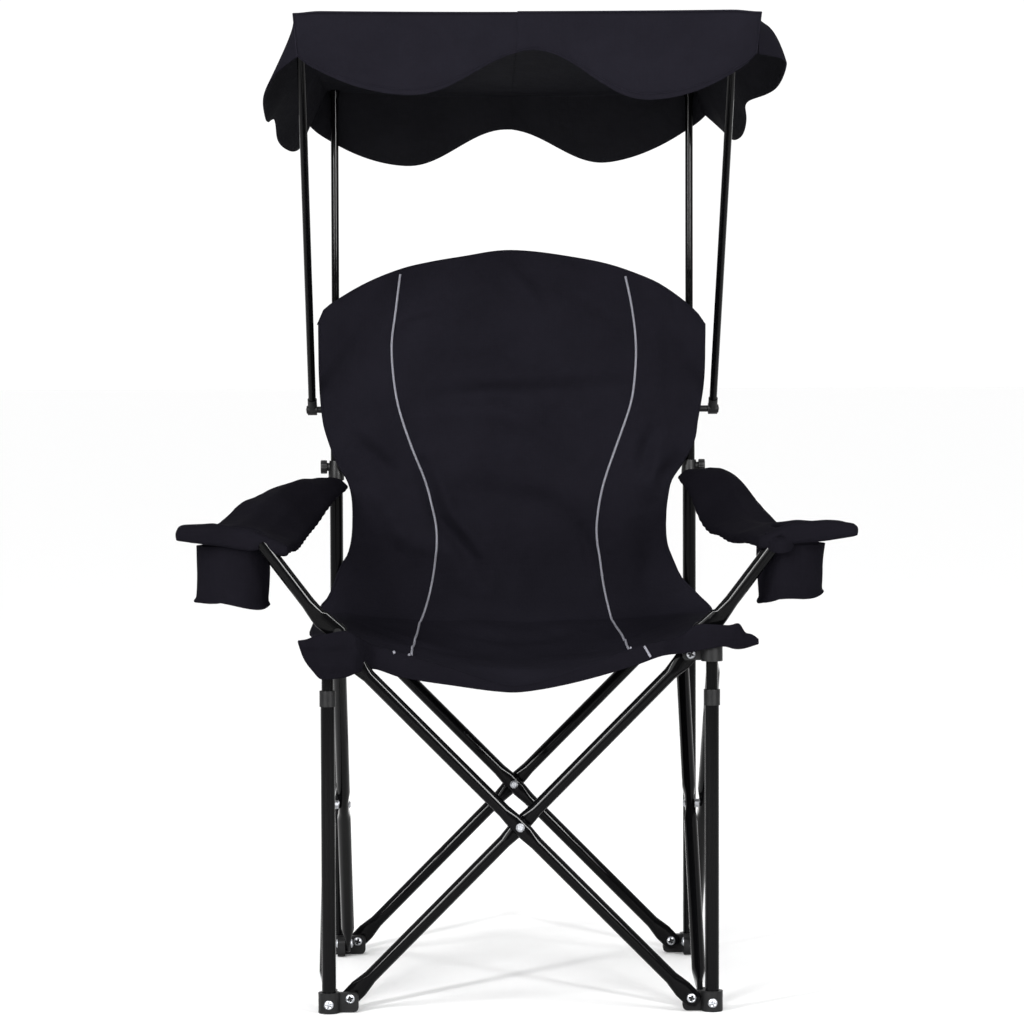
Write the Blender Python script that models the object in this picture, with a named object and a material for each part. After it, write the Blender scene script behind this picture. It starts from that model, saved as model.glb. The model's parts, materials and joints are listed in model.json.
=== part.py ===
"""Canopy camping chair: a square scissor frame of steel tube, with a cloth seat, arms, back and canopy.

Units are metres, +Z is up, the sitter faces -Y and the origin is on the floor under the middle.
The base has the same corner mouldings turned a quarter turn from corner to corner, so each side
has one cross tube behind the ears (inner) and one in front of them (outer).
"""
import math

import bmesh
import bpy
from mathutils import Matrix, Vector

# Fits and facets
CLEAR = 0.0003
OVERRUN = 0.002
WELD = 0.00001
TUBE_SIDES = 12
ROUND_SIDES = 16
SMALL_SIDES = 10
CUP_SIDES = 20
CORNER_STEPS = 3
SMOOTH_ANGLE = math.radians(40)

# Footprint and heights of the base
POST_SPACING = 0.512
PIVOT_REACH = 0.028
PIVOT_FLOOR_Z = 0.018
CROSS_RISE = 0.460
EAR_OFFSET = 0.0048

# Steel tubes
TUBE_RADIUS = 0.0095
TUBE_WALL = 0.0012
INNER_RADIUS = 0.008
INNER_WALL = 0.001
POLE_RADIUS = 0.0055
POLE_WALL = 0.0008

# Cross tubes: ends pressed flat, a dent at the centre rivet
FLAT_THICK = 0.008
FLAT_LENGTH = 0.0165
FLAT_TAPER = 0.022
TIP_ANGLES = (20, 50, 75)
DENT_THICK = 0.0135
DENT_LENGTH = 0.012
DENT_TAPER = 0.018

# Corner mouldings
EAR_THICK = 0.011
EAR_END = 0.0113
EAR_ABOVE = 0.008
EAR_CORNER = 0.006
SOCKET_WALL = 0.0046
SOCKET_RIM = 0.001
SOCKET_FLOOR = 0.006
PIN_RADIUS = 0.003
HEAD_RADIUS = 0.006
HEAD_THICK = 0.0025
HEAD_CROWN_SHARE = 0.6
POST_SCREW_Z = 0.012

# Front legs
LEG_TO_HUB = 0.0495
LEG_COLLAR_BELOW = 0.0105
LEG_COLLAR_ABOVE = 0.0105
LEG_COLLAR_WALL = 0.0011
INNER_POST_IN_LEG = 0.2205

# Rear uprights and what telescopes in them
UPRIGHT_ABOVE_SLIDER = 0.204
UPPER_TUBE_INSIDE = 0.140
UPPER_TUBE_OUTSIDE = 0.215
CLAMP_BELOW = 0.010
CLAMP_ABOVE = 0.018
CLAMP_WALL = 0.0016
CLAMP_BOSS_RADIUS = 0.006
CLAMP_BOSS_LENGTH = 0.004
THUMB_RADIUS = 0.0085
THUMB_THICK = 0.006
THUMB_LOBES = 8
THUMB_NOTCH = 0.001
THUMB_SHANK_RADIUS = 0.0025

# Arm posts
ARM_PIVOT_IN = 0.014
ARM_FLAT_LENGTH = 0.028
ARM_BEND_RUN = 0.026
ARM_BEND_RISE = 0.022
ARM_TOP_RUN = 0.1004
ARM_TOP_RISE = 0.120

# Canopy frame
BRACKET_ABOVE_UPRIGHT = 0.092
BRACKET_HEIGHT = 0.020
BRACKET_WALL = 0.0019
STUB_RADIUS = 0.0047
STUB_LEAST = 0.006
EYE_TO_BACK = 0.0043
EYE_RADIUS = 0.008
EYE_WIDTH = 0.0134
EYE_SOCKET_RADIUS = 0.0067
EYE_SOCKET_LENGTH = 0.020
POLE_TIP_FORWARD = 0.461
POLE_TIP_RISE = 0.5335
POLE_PLUG_LENGTH = 0.050
POLE_FLANGE = 0.003
TIP_CAP_RADIUS = 0.007
TIP_CAP_LENGTH = 0.012
TIP_CAP_TOP = 0.002

# Canopy cloth
CANOPY_CLOTH = 0.002
ROOF_ABOVE_TIP = 0.0085
ROOF_DROP = 0.078
ROOF_OVERHANG_FRONT = 0.012
ROOF_OVERHANG_REAR = 0.009
ROOF_SIDE_FRONT = 0.012
ROOF_SIDE_REAR = 0.011
ROOF_SAG = 0.012
ROOF_FLAT_SHARE = 0.8
SCALLOP_HIGH = 0.050
SCALLOP_LOW = 0.109
FRONT_VALANCE_LEAN = 0.006
REAR_VALANCE_LEAN = 0.002
SIDE_VALANCE_FLARE = 0.045
SIDE_SCALLOP_LOW = 0.100

# Seat cloth
SEAT_CLOTH = 0.003
SEAT_SAG = 0.050
SEAT_WAIST = 0.020
SEAT_FRONT_LIP = 0.022
SEAT_FRONT_SHARE = 0.85
SEAT_FLAT_SHARE = 5 / 6

# Back cloth
BACK_CLOTH = 0.004
BACK_ABOVE_SLIDER = 0.009
BACK_APEX_ABOVE_TUBE = 0.106
BACK_SHOULDER_ABOVE_TUBE = 0.010
BACK_HALF_TOP = 0.279
BACK_HALF_WAIST = 0.229
BACK_HALF_BOTTOM = 0.262
BACK_WAIST_BELOW_UPRIGHT = 0.060
BACK_FULL_ABOVE_UPRIGHT = 0.080
BACK_BELLY = 0.016
BACK_FLAT_SHARE = 0.8
SLEEVE_WALL = 0.004
SLEEVE_LENGTH = 0.090

# Armrests and cup pockets
ARMREST_THICK = 0.014
ARMREST_REAR_THICK = 0.008
ARMREST_BELOW_CLAMP = 0.014
ARMREST_BELOW_POST_TOP = 0.0173
ARMREST_TILT = 0.024
ARMREST_REAR_HALF = 0.020
ARMREST_FRONT_IN = 0.303
ARMREST_FRONT_OUT = 0.460
ARMREST_CROWN = 0.012
ARMREST_REAR_CLEAR = 0.006
CUP_X = 0.381
CUP_Y = 0.212
CUP_RADIUS = 0.049
CUP_WALL = 0.002
CUP_DEPTH = 0.074
CUP_RIM = 0.004

# Colours
STEEL_BLACK = (0.012, 0.012, 0.014, 1.0)
PLASTIC_BLACK = (0.020, 0.020, 0.022, 1.0)
ZINC = (0.62, 0.63, 0.65, 1.0)
CLOTH_BLACK = (0.020, 0.019, 0.028, 1.0)
CLOTH_LINING = (0.012, 0.012, 0.014, 1.0)
STEEL_FINISH = (0.22, 0.6)
PLASTIC_FINISH = (0.45, 0.0)
ZINC_FINISH = (0.30, 1.0)
CLOTH_FINISH = (0.85, 0.0)

# Worked out from the sizes above
HALF_SPACING = POST_SPACING / 2
PIVOT_SPAN = POST_SPACING - PIVOT_REACH - PIVOT_REACH
CROSS_ANGLE = math.atan2(CROSS_RISE, PIVOT_SPAN)
CROSS_LENGTH = math.hypot(CROSS_RISE, PIVOT_SPAN)
HUB_PIVOT_Z = PIVOT_FLOOR_Z + CROSS_RISE
FLAT_WIDTH = FLAT_THICK + math.pi * (TUBE_RADIUS - FLAT_THICK / 2)
END_RADIUS = FLAT_WIDTH / 2
CROSS_OFFSET = max(EAR_THICK / 2 + CLEAR + FLAT_THICK / 2, TUBE_RADIUS + CLEAR)
SOCKET_RADIUS = TUBE_RADIUS + CLEAR + SOCKET_WALL
HUB_LOW_Z = HUB_PIVOT_Z - EAR_ABOVE
HUB_TOP_Z = HUB_PIVOT_Z + PIVOT_FLOOR_Z
ARM_PIVOT_Z = HUB_TOP_Z + END_RADIUS + CLEAR + CLEAR
LEG_TOP = HUB_LOW_Z - LEG_TO_HUB
INNER_POST_LOW = LEG_TOP - INNER_POST_IN_LEG
UPRIGHT_TOP = HUB_TOP_Z + UPRIGHT_ABOVE_SLIDER
UPPER_TUBE_LOW = UPRIGHT_TOP - UPPER_TUBE_INSIDE
UPPER_TUBE_TOP = UPRIGHT_TOP + UPPER_TUBE_OUTSIDE
BRACKET_Z = UPRIGHT_TOP + BRACKET_ABOVE_UPRIGHT
POLE_CLEAR_OF_BACK = BACK_HALF_TOP + EYE_TO_BACK
POLE_CLEAR_OF_BRACKET = HALF_SPACING + INNER_RADIUS + BRACKET_WALL + STUB_LEAST
POLE_SPREAD = max(POLE_CLEAR_OF_BACK, POLE_CLEAR_OF_BRACKET) + EYE_WIDTH / 2
ROOF_FRONT_Z = BRACKET_Z + POLE_TIP_RISE + ROOF_ABOVE_TIP
ROOF_REAR_Z = ROOF_FRONT_Z - ROOF_DROP
BACK_BOTTOM_Z = HUB_TOP_Z + BACK_ABOVE_SLIDER
BACK_APEX_Z = UPPER_TUBE_TOP + BACK_APEX_ABOVE_TUBE
BACK_SHOULDER_Z = UPPER_TUBE_TOP + BACK_SHOULDER_ABOVE_TUBE
BACK_WAIST_Z = UPRIGHT_TOP - BACK_WAIST_BELOW_UPRIGHT
BACK_FULL_Z = UPRIGHT_TOP + BACK_FULL_ABOVE_UPRIGHT
ARMREST_REAR_Z = UPRIGHT_TOP - CLAMP_BELOW - ARMREST_BELOW_CLAMP
ARMREST_FRONT_IN_Z = ARM_PIVOT_Z + ARM_TOP_RISE - ARMREST_BELOW_POST_TOP
ARMREST_FRONT_OUT_Z = ARMREST_FRONT_IN_Z + ARMREST_TILT
CUP_FLOOR_Z = ARMREST_FRONT_IN_Z - CUP_DEPTH
POLE_LEAN = math.atan2(POLE_TIP_FORWARD, POLE_TIP_RISE)
POLE_TIP_Y = HALF_SPACING - POLE_TIP_FORWARD
ROOF_FRONT_Y = POLE_TIP_Y - ROOF_OVERHANG_FRONT
ROOF_REAR_Y = HALF_SPACING + ROOF_OVERHANG_REAR
ROOF_SLOPE = ROOF_DROP / (ROOF_REAR_Y - ROOF_FRONT_Y)
BRACKET_RADIUS = INNER_RADIUS + CLEAR + BRACKET_WALL
BACK_Y = HALF_SPACING - BRACKET_RADIUS - CLEAR - BACK_CLOTH
ARMREST_FRONT_Y = HALF_SPACING + SOCKET_RADIUS + HEAD_THICK / 2
ARM_END_ANGLE = math.atan2(ARM_BEND_RISE, ARM_BEND_RUN)

TIP_SHARES = [(math.cos(turn), math.sin(turn)) for turn in map(math.radians, TIP_ANGLES)]
SIDE_TURNS = {"front": 0, "right": 1, "rear": 2, "left": 3}
QUARTER = math.pi / 2


def clear_scene():
    """Removes whatever the file opened with."""
    for obj in list(bpy.data.objects):
        bpy.data.objects.remove(obj)


def material(name, colour, finish):
    """A Principled material of one colour, with its roughness and metallic value."""
    made = bpy.data.materials.get(name)
    if made is None:
        made = bpy.data.materials.new(name)
        made.use_nodes = True
        shader = made.node_tree.nodes["Principled BSDF"]
        shader.inputs["Base Color"].default_value = colour
        shader.inputs["Roughness"].default_value = finish[0]
        shader.inputs["Metallic"].default_value = finish[1]
    return made


def steel():
    return material("powder_coated_steel", STEEL_BLACK, STEEL_FINISH)


def plastic():
    return material("black_nylon", PLASTIC_BLACK, PLASTIC_FINISH)


def zinc():
    return material("zinc_screw", ZINC, ZINC_FINISH)


def cloth():
    return material("oxford_cloth", CLOTH_BLACK, CLOTH_FINISH)


def lining():
    return material("cloth_underside", CLOTH_LINING, CLOTH_FINISH)


def finished(bm, name):
    """Turns a bmesh into a mesh with its faces pointing out and its round faces smooth."""
    bmesh.ops.remove_doubles(bm, verts=bm.verts, dist=WELD)
    bmesh.ops.recalc_face_normals(bm, faces=bm.faces)
    mesh = bpy.data.meshes.new(name)
    bm.to_mesh(mesh)
    bm.free()
    mesh.shade_smooth()
    mesh.set_sharp_from_angle(angle=SMOOTH_ANGLE)
    return mesh


def place(name, mesh, finish, matrix=None):
    """Adds an object that shows the mesh at a place."""
    obj = bpy.data.objects.new(name, mesh)
    bpy.context.scene.collection.objects.link(obj)
    if not mesh.materials:
        mesh.materials.append(finish)
    if matrix is not None:
        obj.matrix_world = matrix
    return obj


def turned(profile, sides, closed=False):
    """Revolves a profile of (radius, height) points round Z. A closed profile makes a ring."""
    bm = bmesh.new()
    verts = [bm.verts.new((radius, 0, height)) for radius, height in profile]
    edges = [bm.edges.new(pair) for pair in zip(verts, verts[1:])]
    if closed:
        edges.append(bm.edges.new((verts[-1], verts[0])))
    bmesh.ops.spin(
        bm, geom=verts + edges, axis=(0, 0, 1), angle=2 * math.pi, steps=sides, use_merge=True
    )
    return bm


def ring_profile(inner, outer, low, high):
    """The closed profile of a plain ring or tube."""
    return [(inner, low), (outer, low), (outer, high), (inner, high)]


def rod_profile(radius, low, high):
    """The profile of a plain solid rod."""
    return [(0, low), (radius, low), (radius, high), (0, high)]


def loft(sections):
    """A closed skin through sections, each a list of as many points, with both ends filled."""
    bm = bmesh.new()
    rings = [[bm.verts.new(point) for point in section] for section in sections]
    for first, second in zip(rings, rings[1:]):
        for low, high in zip(zip(first, second), zip(first[1:] + first[:1], second[1:] + second[:1])):
            bm.faces.new((low[0], high[0], high[1], low[1]))
    bm.faces.new(rings[0])
    bm.faces.new(rings[-1])
    return bm


def plate(outline, thickness, normal):
    """A flat plate: an outline of (along, up) points, centred on its thickness along normal."""
    along = Vector((1, 0, 0)) if normal == "Y" else Vector((0, 1, 0))
    across = Vector((0, 1, 0)) if normal == "Y" else Vector((1, 0, 0))
    bm = bmesh.new()
    verts = [
        bm.verts.new(along * run + Vector((0, 0, rise)) - across * thickness / 2)
        for run, rise in outline
    ]
    face = bm.faces.new(verts)
    moved = bmesh.ops.extrude_face_region(bm, geom=[face])
    pushed = [item for item in moved["geom"] if isinstance(item, bmesh.types.BMVert)]
    bmesh.ops.translate(bm, vec=across * thickness, verts=pushed)
    return bm


def arc(centre, radius, start, end, steps):
    """Points on an arc, in (along, up), from one angle to another in degrees."""
    angles = [math.radians(start + (end - start) * step / steps) for step in range(steps + 1)]
    return [
        (centre[0] + radius * math.cos(angle), centre[1] + radius * math.sin(angle))
        for angle in angles
    ]


def joined(name, base, tools, operation="UNION"):
    """Applies exact Booleans of temporary solids to an object and clears them away."""
    for tool in tools:
        step = base.modifiers.new(operation.lower(), "BOOLEAN")
        step.operation = operation
        step.object = tool
    bpy.context.view_layer.update()
    graph = bpy.context.evaluated_depsgraph_get()
    mesh = bpy.data.meshes.new_from_object(base.evaluated_get(graph))
    base.modifiers.clear()
    base.data = mesh
    mesh.name = name
    for tool in tools:
        bpy.data.objects.remove(tool)
    return base


def temporary(bm, matrix=None):
    """A solid that a Boolean uses up."""
    return place("tool", finished(bm, "tool"), plastic(), matrix)


def mesh_of(obj):
    """Takes the mesh from a temporary object and removes the object."""
    mesh = obj.data
    bpy.data.objects.remove(obj)
    mesh.shade_smooth()
    mesh.set_sharp_from_angle(angle=SMOOTH_ANGLE)
    return mesh


def tube_section(along, thickness, sides):
    """A pressed tube's section: its girth stays that of the round tube. Thin way along Y."""
    half_thick = thickness / 2
    spread = math.pi * (TUBE_RADIUS - half_thick) / 2
    points = []
    for step in range(sides):
        angle = 2 * math.pi * (step + 1 / 2) / sides
        across = half_thick * math.cos(angle)
        wide = half_thick * math.sin(angle)
        points.append((along, across, wide + math.copysign(spread, wide)))
    return points


def tip_section(along, share, sides):
    """The pressed section of the tube's rounded tip, drawn in to a share of its width."""
    return [
        (x, y, z * share) for x, y, z in tube_section(along, FLAT_THICK, sides)
    ]


def pressed_end(pivot, outward):
    """Sections from a flattened end's tip to where the tube is round, round a pivot on X."""
    sections = [
        tip_section(pivot + outward * END_RADIUS * reach, width, TUBE_SIDES)
        for reach, width in TIP_SHARES
    ]
    sections.append(tube_section(pivot - outward * FLAT_LENGTH, FLAT_THICK, TUBE_SIDES))
    sections.append(
        tube_section(pivot - outward * (FLAT_LENGTH + FLAT_TAPER), TUBE_RADIUS * 2, TUBE_SIDES)
    )
    return sections


def pin_hole(along, up=0):
    """A cutter for a pin's hole through a tube, along Y."""
    length = TUBE_RADIUS + OVERRUN
    turn = Matrix.Rotation(QUARTER, 4, "X")
    bm = turned(rod_profile(PIN_RADIUS + CLEAR, -length, length), SMALL_SIDES)
    return temporary(bm, Matrix.Translation((along, 0, up)) @ turn)


def cross_tube_mesh(origin):
    """A cross tube along X: pressed ends, a dented middle and three pin holes."""
    half = CROSS_LENGTH / 2
    left = pressed_end(-half, -1)
    right = pressed_end(half, 1)
    dents = [
        (-DENT_LENGTH - DENT_TAPER, TUBE_RADIUS * 2),
        (-DENT_LENGTH, DENT_THICK),
        (DENT_LENGTH, DENT_THICK),
        (DENT_LENGTH + DENT_TAPER, TUBE_RADIUS * 2),
    ]
    middle = [tube_section(along, thick, TUBE_SIDES) for along, thick in dents]
    base = temporary(loft(left + middle + right[::-1]))
    holes = [pin_hole(along) for along in (-half, 0, half)]
    mesh = mesh_of(joined("cross_tube", base, holes, "DIFFERENCE"))
    mesh.transform(Matrix.Translation((-origin, 0, 0)))
    return mesh


def side_frame(side):
    """The matrix of a side of the base, seen from outside: X to its right, Y inwards."""
    return Matrix.Rotation(SIDE_TURNS[side] * QUARTER, 4, "Z")


def cross_place(side, inner, at_centre):
    """Where a cross tube's origin goes: its centre, or its lower pivot, tilted to its angle."""
    offset = CROSS_OFFSET if inner else -CROSS_OFFSET
    towards = 1 if inner else -1
    depth = -HALF_SPACING + EAR_OFFSET + offset
    if at_centre:
        spot = (0, depth, PIVOT_FLOOR_Z + CROSS_RISE / 2)
    else:
        spot = (-towards * PIVOT_SPAN / 2, depth, PIVOT_FLOOR_Z)
    angle = CROSS_ANGLE if inner else math.pi - CROSS_ANGLE
    return side_frame(side) @ Matrix.Translation(spot) @ Matrix.Rotation(-angle, 4, "Y")


def build_cross_tubes():
    """Two tubes to a side. Each has its origin on the pivot that it turns about."""
    low_mesh = cross_tube_mesh(-CROSS_LENGTH / 2)
    centre_mesh = cross_tube_mesh(0)
    turns_low = {("front", True), ("right", True), ("left", False), ("rear", False)}
    for side in SIDE_TURNS:
        for inner in (True, False):
            low = (side, inner) in turns_low
            name = f"cross_{side}_{'inner' if inner else 'outer'}"
            mesh = low_mesh if low else centre_mesh
            place(name, mesh, steel(), cross_place(side, inner, not low))


def rivet_mesh():
    """A centre rivet along Z: two domed heads and a spacer between the dented tubes."""
    face = CROSS_OFFSET + DENT_THICK / 2 + CLEAR
    inside = CROSS_OFFSET - DENT_THICK / 2 - CLEAR
    crown = HEAD_RADIUS * HEAD_CROWN_SHARE
    profile = [
        (0, -face - HEAD_THICK), (crown, -face - HEAD_THICK), (HEAD_RADIUS, -face),
        (PIN_RADIUS, -face), (PIN_RADIUS, -inside), (HEAD_RADIUS, -inside),
        (HEAD_RADIUS, inside), (PIN_RADIUS, inside), (PIN_RADIUS, face),
        (HEAD_RADIUS, face), (crown, face + HEAD_THICK), (0, face + HEAD_THICK),
    ]
    return finished(turned(profile, SMALL_SIDES), "cross_rivet")


def build_rivets():
    """One rivet through each side's crossing."""
    mesh = rivet_mesh()
    spot = (0, -HALF_SPACING + EAR_OFFSET, PIVOT_FLOOR_Z + CROSS_RISE / 2)
    for side in SIDE_TURNS:
        where = side_frame(side) @ Matrix.Translation(spot) @ Matrix.Rotation(QUARTER, 4, "X")
        place(f"cross_rivet_{side}", mesh, zinc(), where)


def ear_outline(low, high):
    """A corner moulding's ear, from the post's axis out, with its two free corners rounded."""
    end = PIVOT_REACH + EAR_END - EAR_CORNER
    return (
        [(0, high), (0, low)]
        + arc((end, low + EAR_CORNER), EAR_CORNER, -90, 0, CORNER_STEPS)
        + arc((end, high - EAR_CORNER), EAR_CORNER, 0, 90, CORNER_STEPS)
    )


def pivot_pin(side, reach=0.0):
    """A pin along Z from an ear's far face through a pressed tube end at that side of it."""
    ear = EAR_THICK / 2
    nut = CROSS_OFFSET + FLAT_THICK / 2 + CLEAR + reach
    crown = HEAD_RADIUS * HEAD_CROWN_SHARE
    profile = [
        (0, -ear - HEAD_THICK), (crown, -ear - HEAD_THICK), (HEAD_RADIUS, -ear),
        (HEAD_RADIUS, ear - OVERRUN), (PIN_RADIUS, ear - OVERRUN), (PIN_RADIUS, nut),
        (HEAD_RADIUS, nut), (crown, nut + HEAD_THICK), (0, nut + HEAD_THICK),
    ]
    return turned([(radius, height * side) for radius, height in profile], SMALL_SIDES)


def ear_parts(primary, low, high, tube_side, pivot_z):
    """One ear with its pin. The primary ear runs along X and the other along Y."""
    normal = "Y" if primary else "X"
    shift = (0, EAR_OFFSET, 0) if primary else (EAR_OFFSET, 0, 0)
    ear = temporary(plate(ear_outline(low, high), EAR_THICK, normal), Matrix.Translation(shift))
    if primary:
        spot = Vector((PIVOT_REACH, EAR_OFFSET, pivot_z))
        turn = Matrix.Rotation(-QUARTER, 4, "X")
    else:
        spot = Vector((EAR_OFFSET, PIVOT_REACH, pivot_z))
        turn = Matrix.Rotation(QUARTER, 4, "Y")
    pin = temporary(pivot_pin(tube_side), Matrix.Translation(spot) @ turn)
    return [ear, pin]


def bore(radius, low, high):
    """A cutter for a socket's bore."""
    return temporary(turned(rod_profile(radius, low, high), ROUND_SIDES))


def post_screw(along_x):
    """The zinc head of the screw that holds a post in its foot, on an outer face."""
    length = SOCKET_RADIUS + HEAD_THICK / 2
    bm = turned(rod_profile(HEAD_RADIUS, SOCKET_RADIUS - HEAD_THICK, length), SMALL_SIDES)
    turn = Matrix.Rotation(-QUARTER, 4, "Y") if along_x else Matrix.Rotation(QUARTER, 4, "X")
    return temporary(bm, Matrix.Translation((0, 0, POST_SCREW_Z)) @ turn)


def foot_mesh(screw_along_x):
    """A foot: inner tube on the primary ear, outer tube on the other, and a blind socket."""
    high = PIVOT_FLOOR_Z + EAR_ABOVE
    body = temporary(turned(rod_profile(SOCKET_RADIUS, 0, high + SOCKET_RIM), ROUND_SIDES))
    parts = ear_parts(True, 0, high, 1, PIVOT_FLOOR_Z)
    parts += ear_parts(False, 0, high, -1, PIVOT_FLOOR_Z)
    parts.append(post_screw(screw_along_x))
    joined("foot", body, parts)
    cut = bore(TUBE_RADIUS + CLEAR, SOCKET_FLOOR, high + SOCKET_RIM + OVERRUN)
    return mesh_of(joined("foot", body, [cut], "DIFFERENCE"))


def arm_lug(primary):
    """The lug on a front hub's top that the arm post hinges on, with its pin."""
    radius = END_RADIUS - CLEAR
    rise = ARM_PIVOT_Z - HUB_PIVOT_Z
    outline = arc((ARM_PIVOT_IN, rise), radius, 0, 180, CORNER_STEPS + CORNER_STEPS)
    outline += [(ARM_PIVOT_IN - radius, 0), (ARM_PIVOT_IN + radius, 0)]
    shift = (0, EAR_OFFSET, 0) if primary else (EAR_OFFSET, 0, 0)
    normal = "Y" if primary else "X"
    lug = temporary(plate(outline, EAR_THICK, normal), Matrix.Translation(shift))
    if primary:
        spot = Vector((ARM_PIVOT_IN, EAR_OFFSET, rise))
        turn = Matrix.Rotation(-QUARTER, 4, "X")
    else:
        spot = Vector((EAR_OFFSET, ARM_PIVOT_IN, rise))
        turn = Matrix.Rotation(QUARTER, 4, "Y")
    pin = temporary(pivot_pin(-1), Matrix.Translation(spot) @ turn)
    return [lug, pin]


def hub_mesh(arm_on_primary):
    """A front hub: the foot moulding turned over, closed on top, with a lug for the arm post."""
    low = -EAR_ABOVE
    high = PIVOT_FLOOR_Z
    body = temporary(turned(rod_profile(SOCKET_RADIUS, low - SOCKET_RIM, high), ROUND_SIDES))
    parts = ear_parts(True, low, high, -1, 0)
    parts += ear_parts(False, low, high, 1, 0)
    parts += arm_lug(arm_on_primary)
    joined("hub", body, parts)
    cut = bore(INNER_RADIUS + CLEAR, low - SOCKET_RIM - OVERRUN, high - SOCKET_FLOOR)
    return mesh_of(joined("hub", body, [cut], "DIFFERENCE"))


def slider_mesh():
    """A rear slider: the hub's moulding with a bore right through, for the upright."""
    low = -EAR_ABOVE
    high = PIVOT_FLOOR_Z
    body = temporary(turned(rod_profile(SOCKET_RADIUS, low - SOCKET_RIM, high), ROUND_SIDES))
    parts = ear_parts(True, low, high, -1, 0)
    parts += ear_parts(False, low, high, 1, 0)
    joined("slider", body, parts)
    cut = bore(TUBE_RADIUS + CLEAR, low - SOCKET_RIM - OVERRUN, high + OVERRUN)
    return mesh_of(joined("slider", body, [cut], "DIFFERENCE"))


def corner(turn, height):
    """The place of a corner moulding: the front left corner turned by quarters."""
    start = Matrix.Translation((-HALF_SPACING, -HALF_SPACING, height))
    return Matrix.Rotation(turn * QUARTER, 4, "Z") @ start


def build_corners():
    """Four feet, two front hubs and two rear sliders."""
    front_or_back = foot_mesh(False)
    other = foot_mesh(True)
    place("foot_front_left", front_or_back, plastic(), corner(0, 0))
    place("foot_front_right", other, plastic(), corner(1, 0))
    place("foot_rear_right", front_or_back, plastic(), corner(2, 0))
    place("foot_rear_left", other, plastic(), corner(3, 0))
    place("hub_front_left", hub_mesh(True), plastic(), corner(0, HUB_PIVOT_Z))
    place("hub_front_right", hub_mesh(False), plastic(), corner(1, HUB_PIVOT_Z))
    slider = slider_mesh()
    place("slider_rear_right", slider, plastic(), corner(2, HUB_PIVOT_Z))
    place("slider_rear_left", slider, plastic(), corner(3, HUB_PIVOT_Z))


def tube_mesh(name, radius, wall, low, high):
    """A straight open tube along Z."""
    profile = ring_profile(radius - wall, radius, low, high)
    return finished(turned(profile, ROUND_SIDES, closed=True), name)


def build_front_posts():
    """The leg tubes, the inner posts that slide in them, and the collars between the two."""
    leg = tube_mesh("leg_tube", TUBE_RADIUS, TUBE_WALL, SOCKET_FLOOR + CLEAR, LEG_TOP)
    top = HUB_TOP_Z - SOCKET_FLOOR - CLEAR
    post = tube_mesh("inner_post", INNER_RADIUS, INNER_WALL, INNER_POST_LOW, top)
    outer = TUBE_RADIUS + CLEAR + LEG_COLLAR_WALL
    inside = INNER_RADIUS + CLEAR
    low = LEG_TOP - LEG_COLLAR_BELOW
    profile = [
        (TUBE_RADIUS + CLEAR, low), (outer, low), (outer, LEG_TOP + LEG_COLLAR_ABOVE),
        (inside, LEG_TOP + LEG_COLLAR_ABOVE), (inside, LEG_TOP + CLEAR),
        (TUBE_RADIUS + CLEAR, LEG_TOP + CLEAR),
    ]
    collar = finished(turned(profile, ROUND_SIDES, closed=True), "leg_collar")
    for side, sign in (("left", -1), ("right", 1)):
        where = Matrix.Translation((sign * HALF_SPACING, -HALF_SPACING, 0))
        place(f"leg_tube_{side}", leg, steel(), where)
        place(f"inner_post_{side}", post, steel(), where)
        place(f"leg_collar_{side}", collar, plastic(), where)


def clamp_mesh(sign):
    """The clamp collar on an upright's top, with a tapped boss on its outer side."""
    outer = TUBE_RADIUS + CLEAR + CLAMP_WALL
    top_outer = INNER_RADIUS + CLEAR + CLAMP_WALL
    inside = INNER_RADIUS + CLEAR
    low = UPRIGHT_TOP - CLAMP_BELOW
    high = UPRIGHT_TOP + CLAMP_ABOVE
    profile = [
        (TUBE_RADIUS + CLEAR, low), (outer, low), (outer, UPRIGHT_TOP + CLAMP_WALL),
        (top_outer, high), (inside, high), (inside, UPRIGHT_TOP + CLEAR),
        (TUBE_RADIUS + CLEAR, UPRIGHT_TOP + CLEAR),
    ]
    body = temporary(turned(profile, ROUND_SIDES, closed=True))
    reach = outer + CLAMP_BOSS_LENGTH
    start = inside + CLAMP_WALL / 2
    turn = Matrix.Rotation(sign * QUARTER, 4, "Y")
    spot = Matrix.Translation((0, 0, UPRIGHT_TOP + CLAMP_ABOVE / 2))
    hole = THUMB_SHANK_RADIUS + CLEAR
    boss = temporary(turned(rod_profile(CLAMP_BOSS_RADIUS, start, reach), SMALL_SIDES), spot @ turn)
    joined("clamp", body, [boss])
    tapped = rod_profile(hole, start + CLEAR, reach + OVERRUN)
    cut = temporary(turned(tapped, SMALL_SIDES), spot @ turn)
    return mesh_of(joined("clamp", body, [cut], "DIFFERENCE"))


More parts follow.
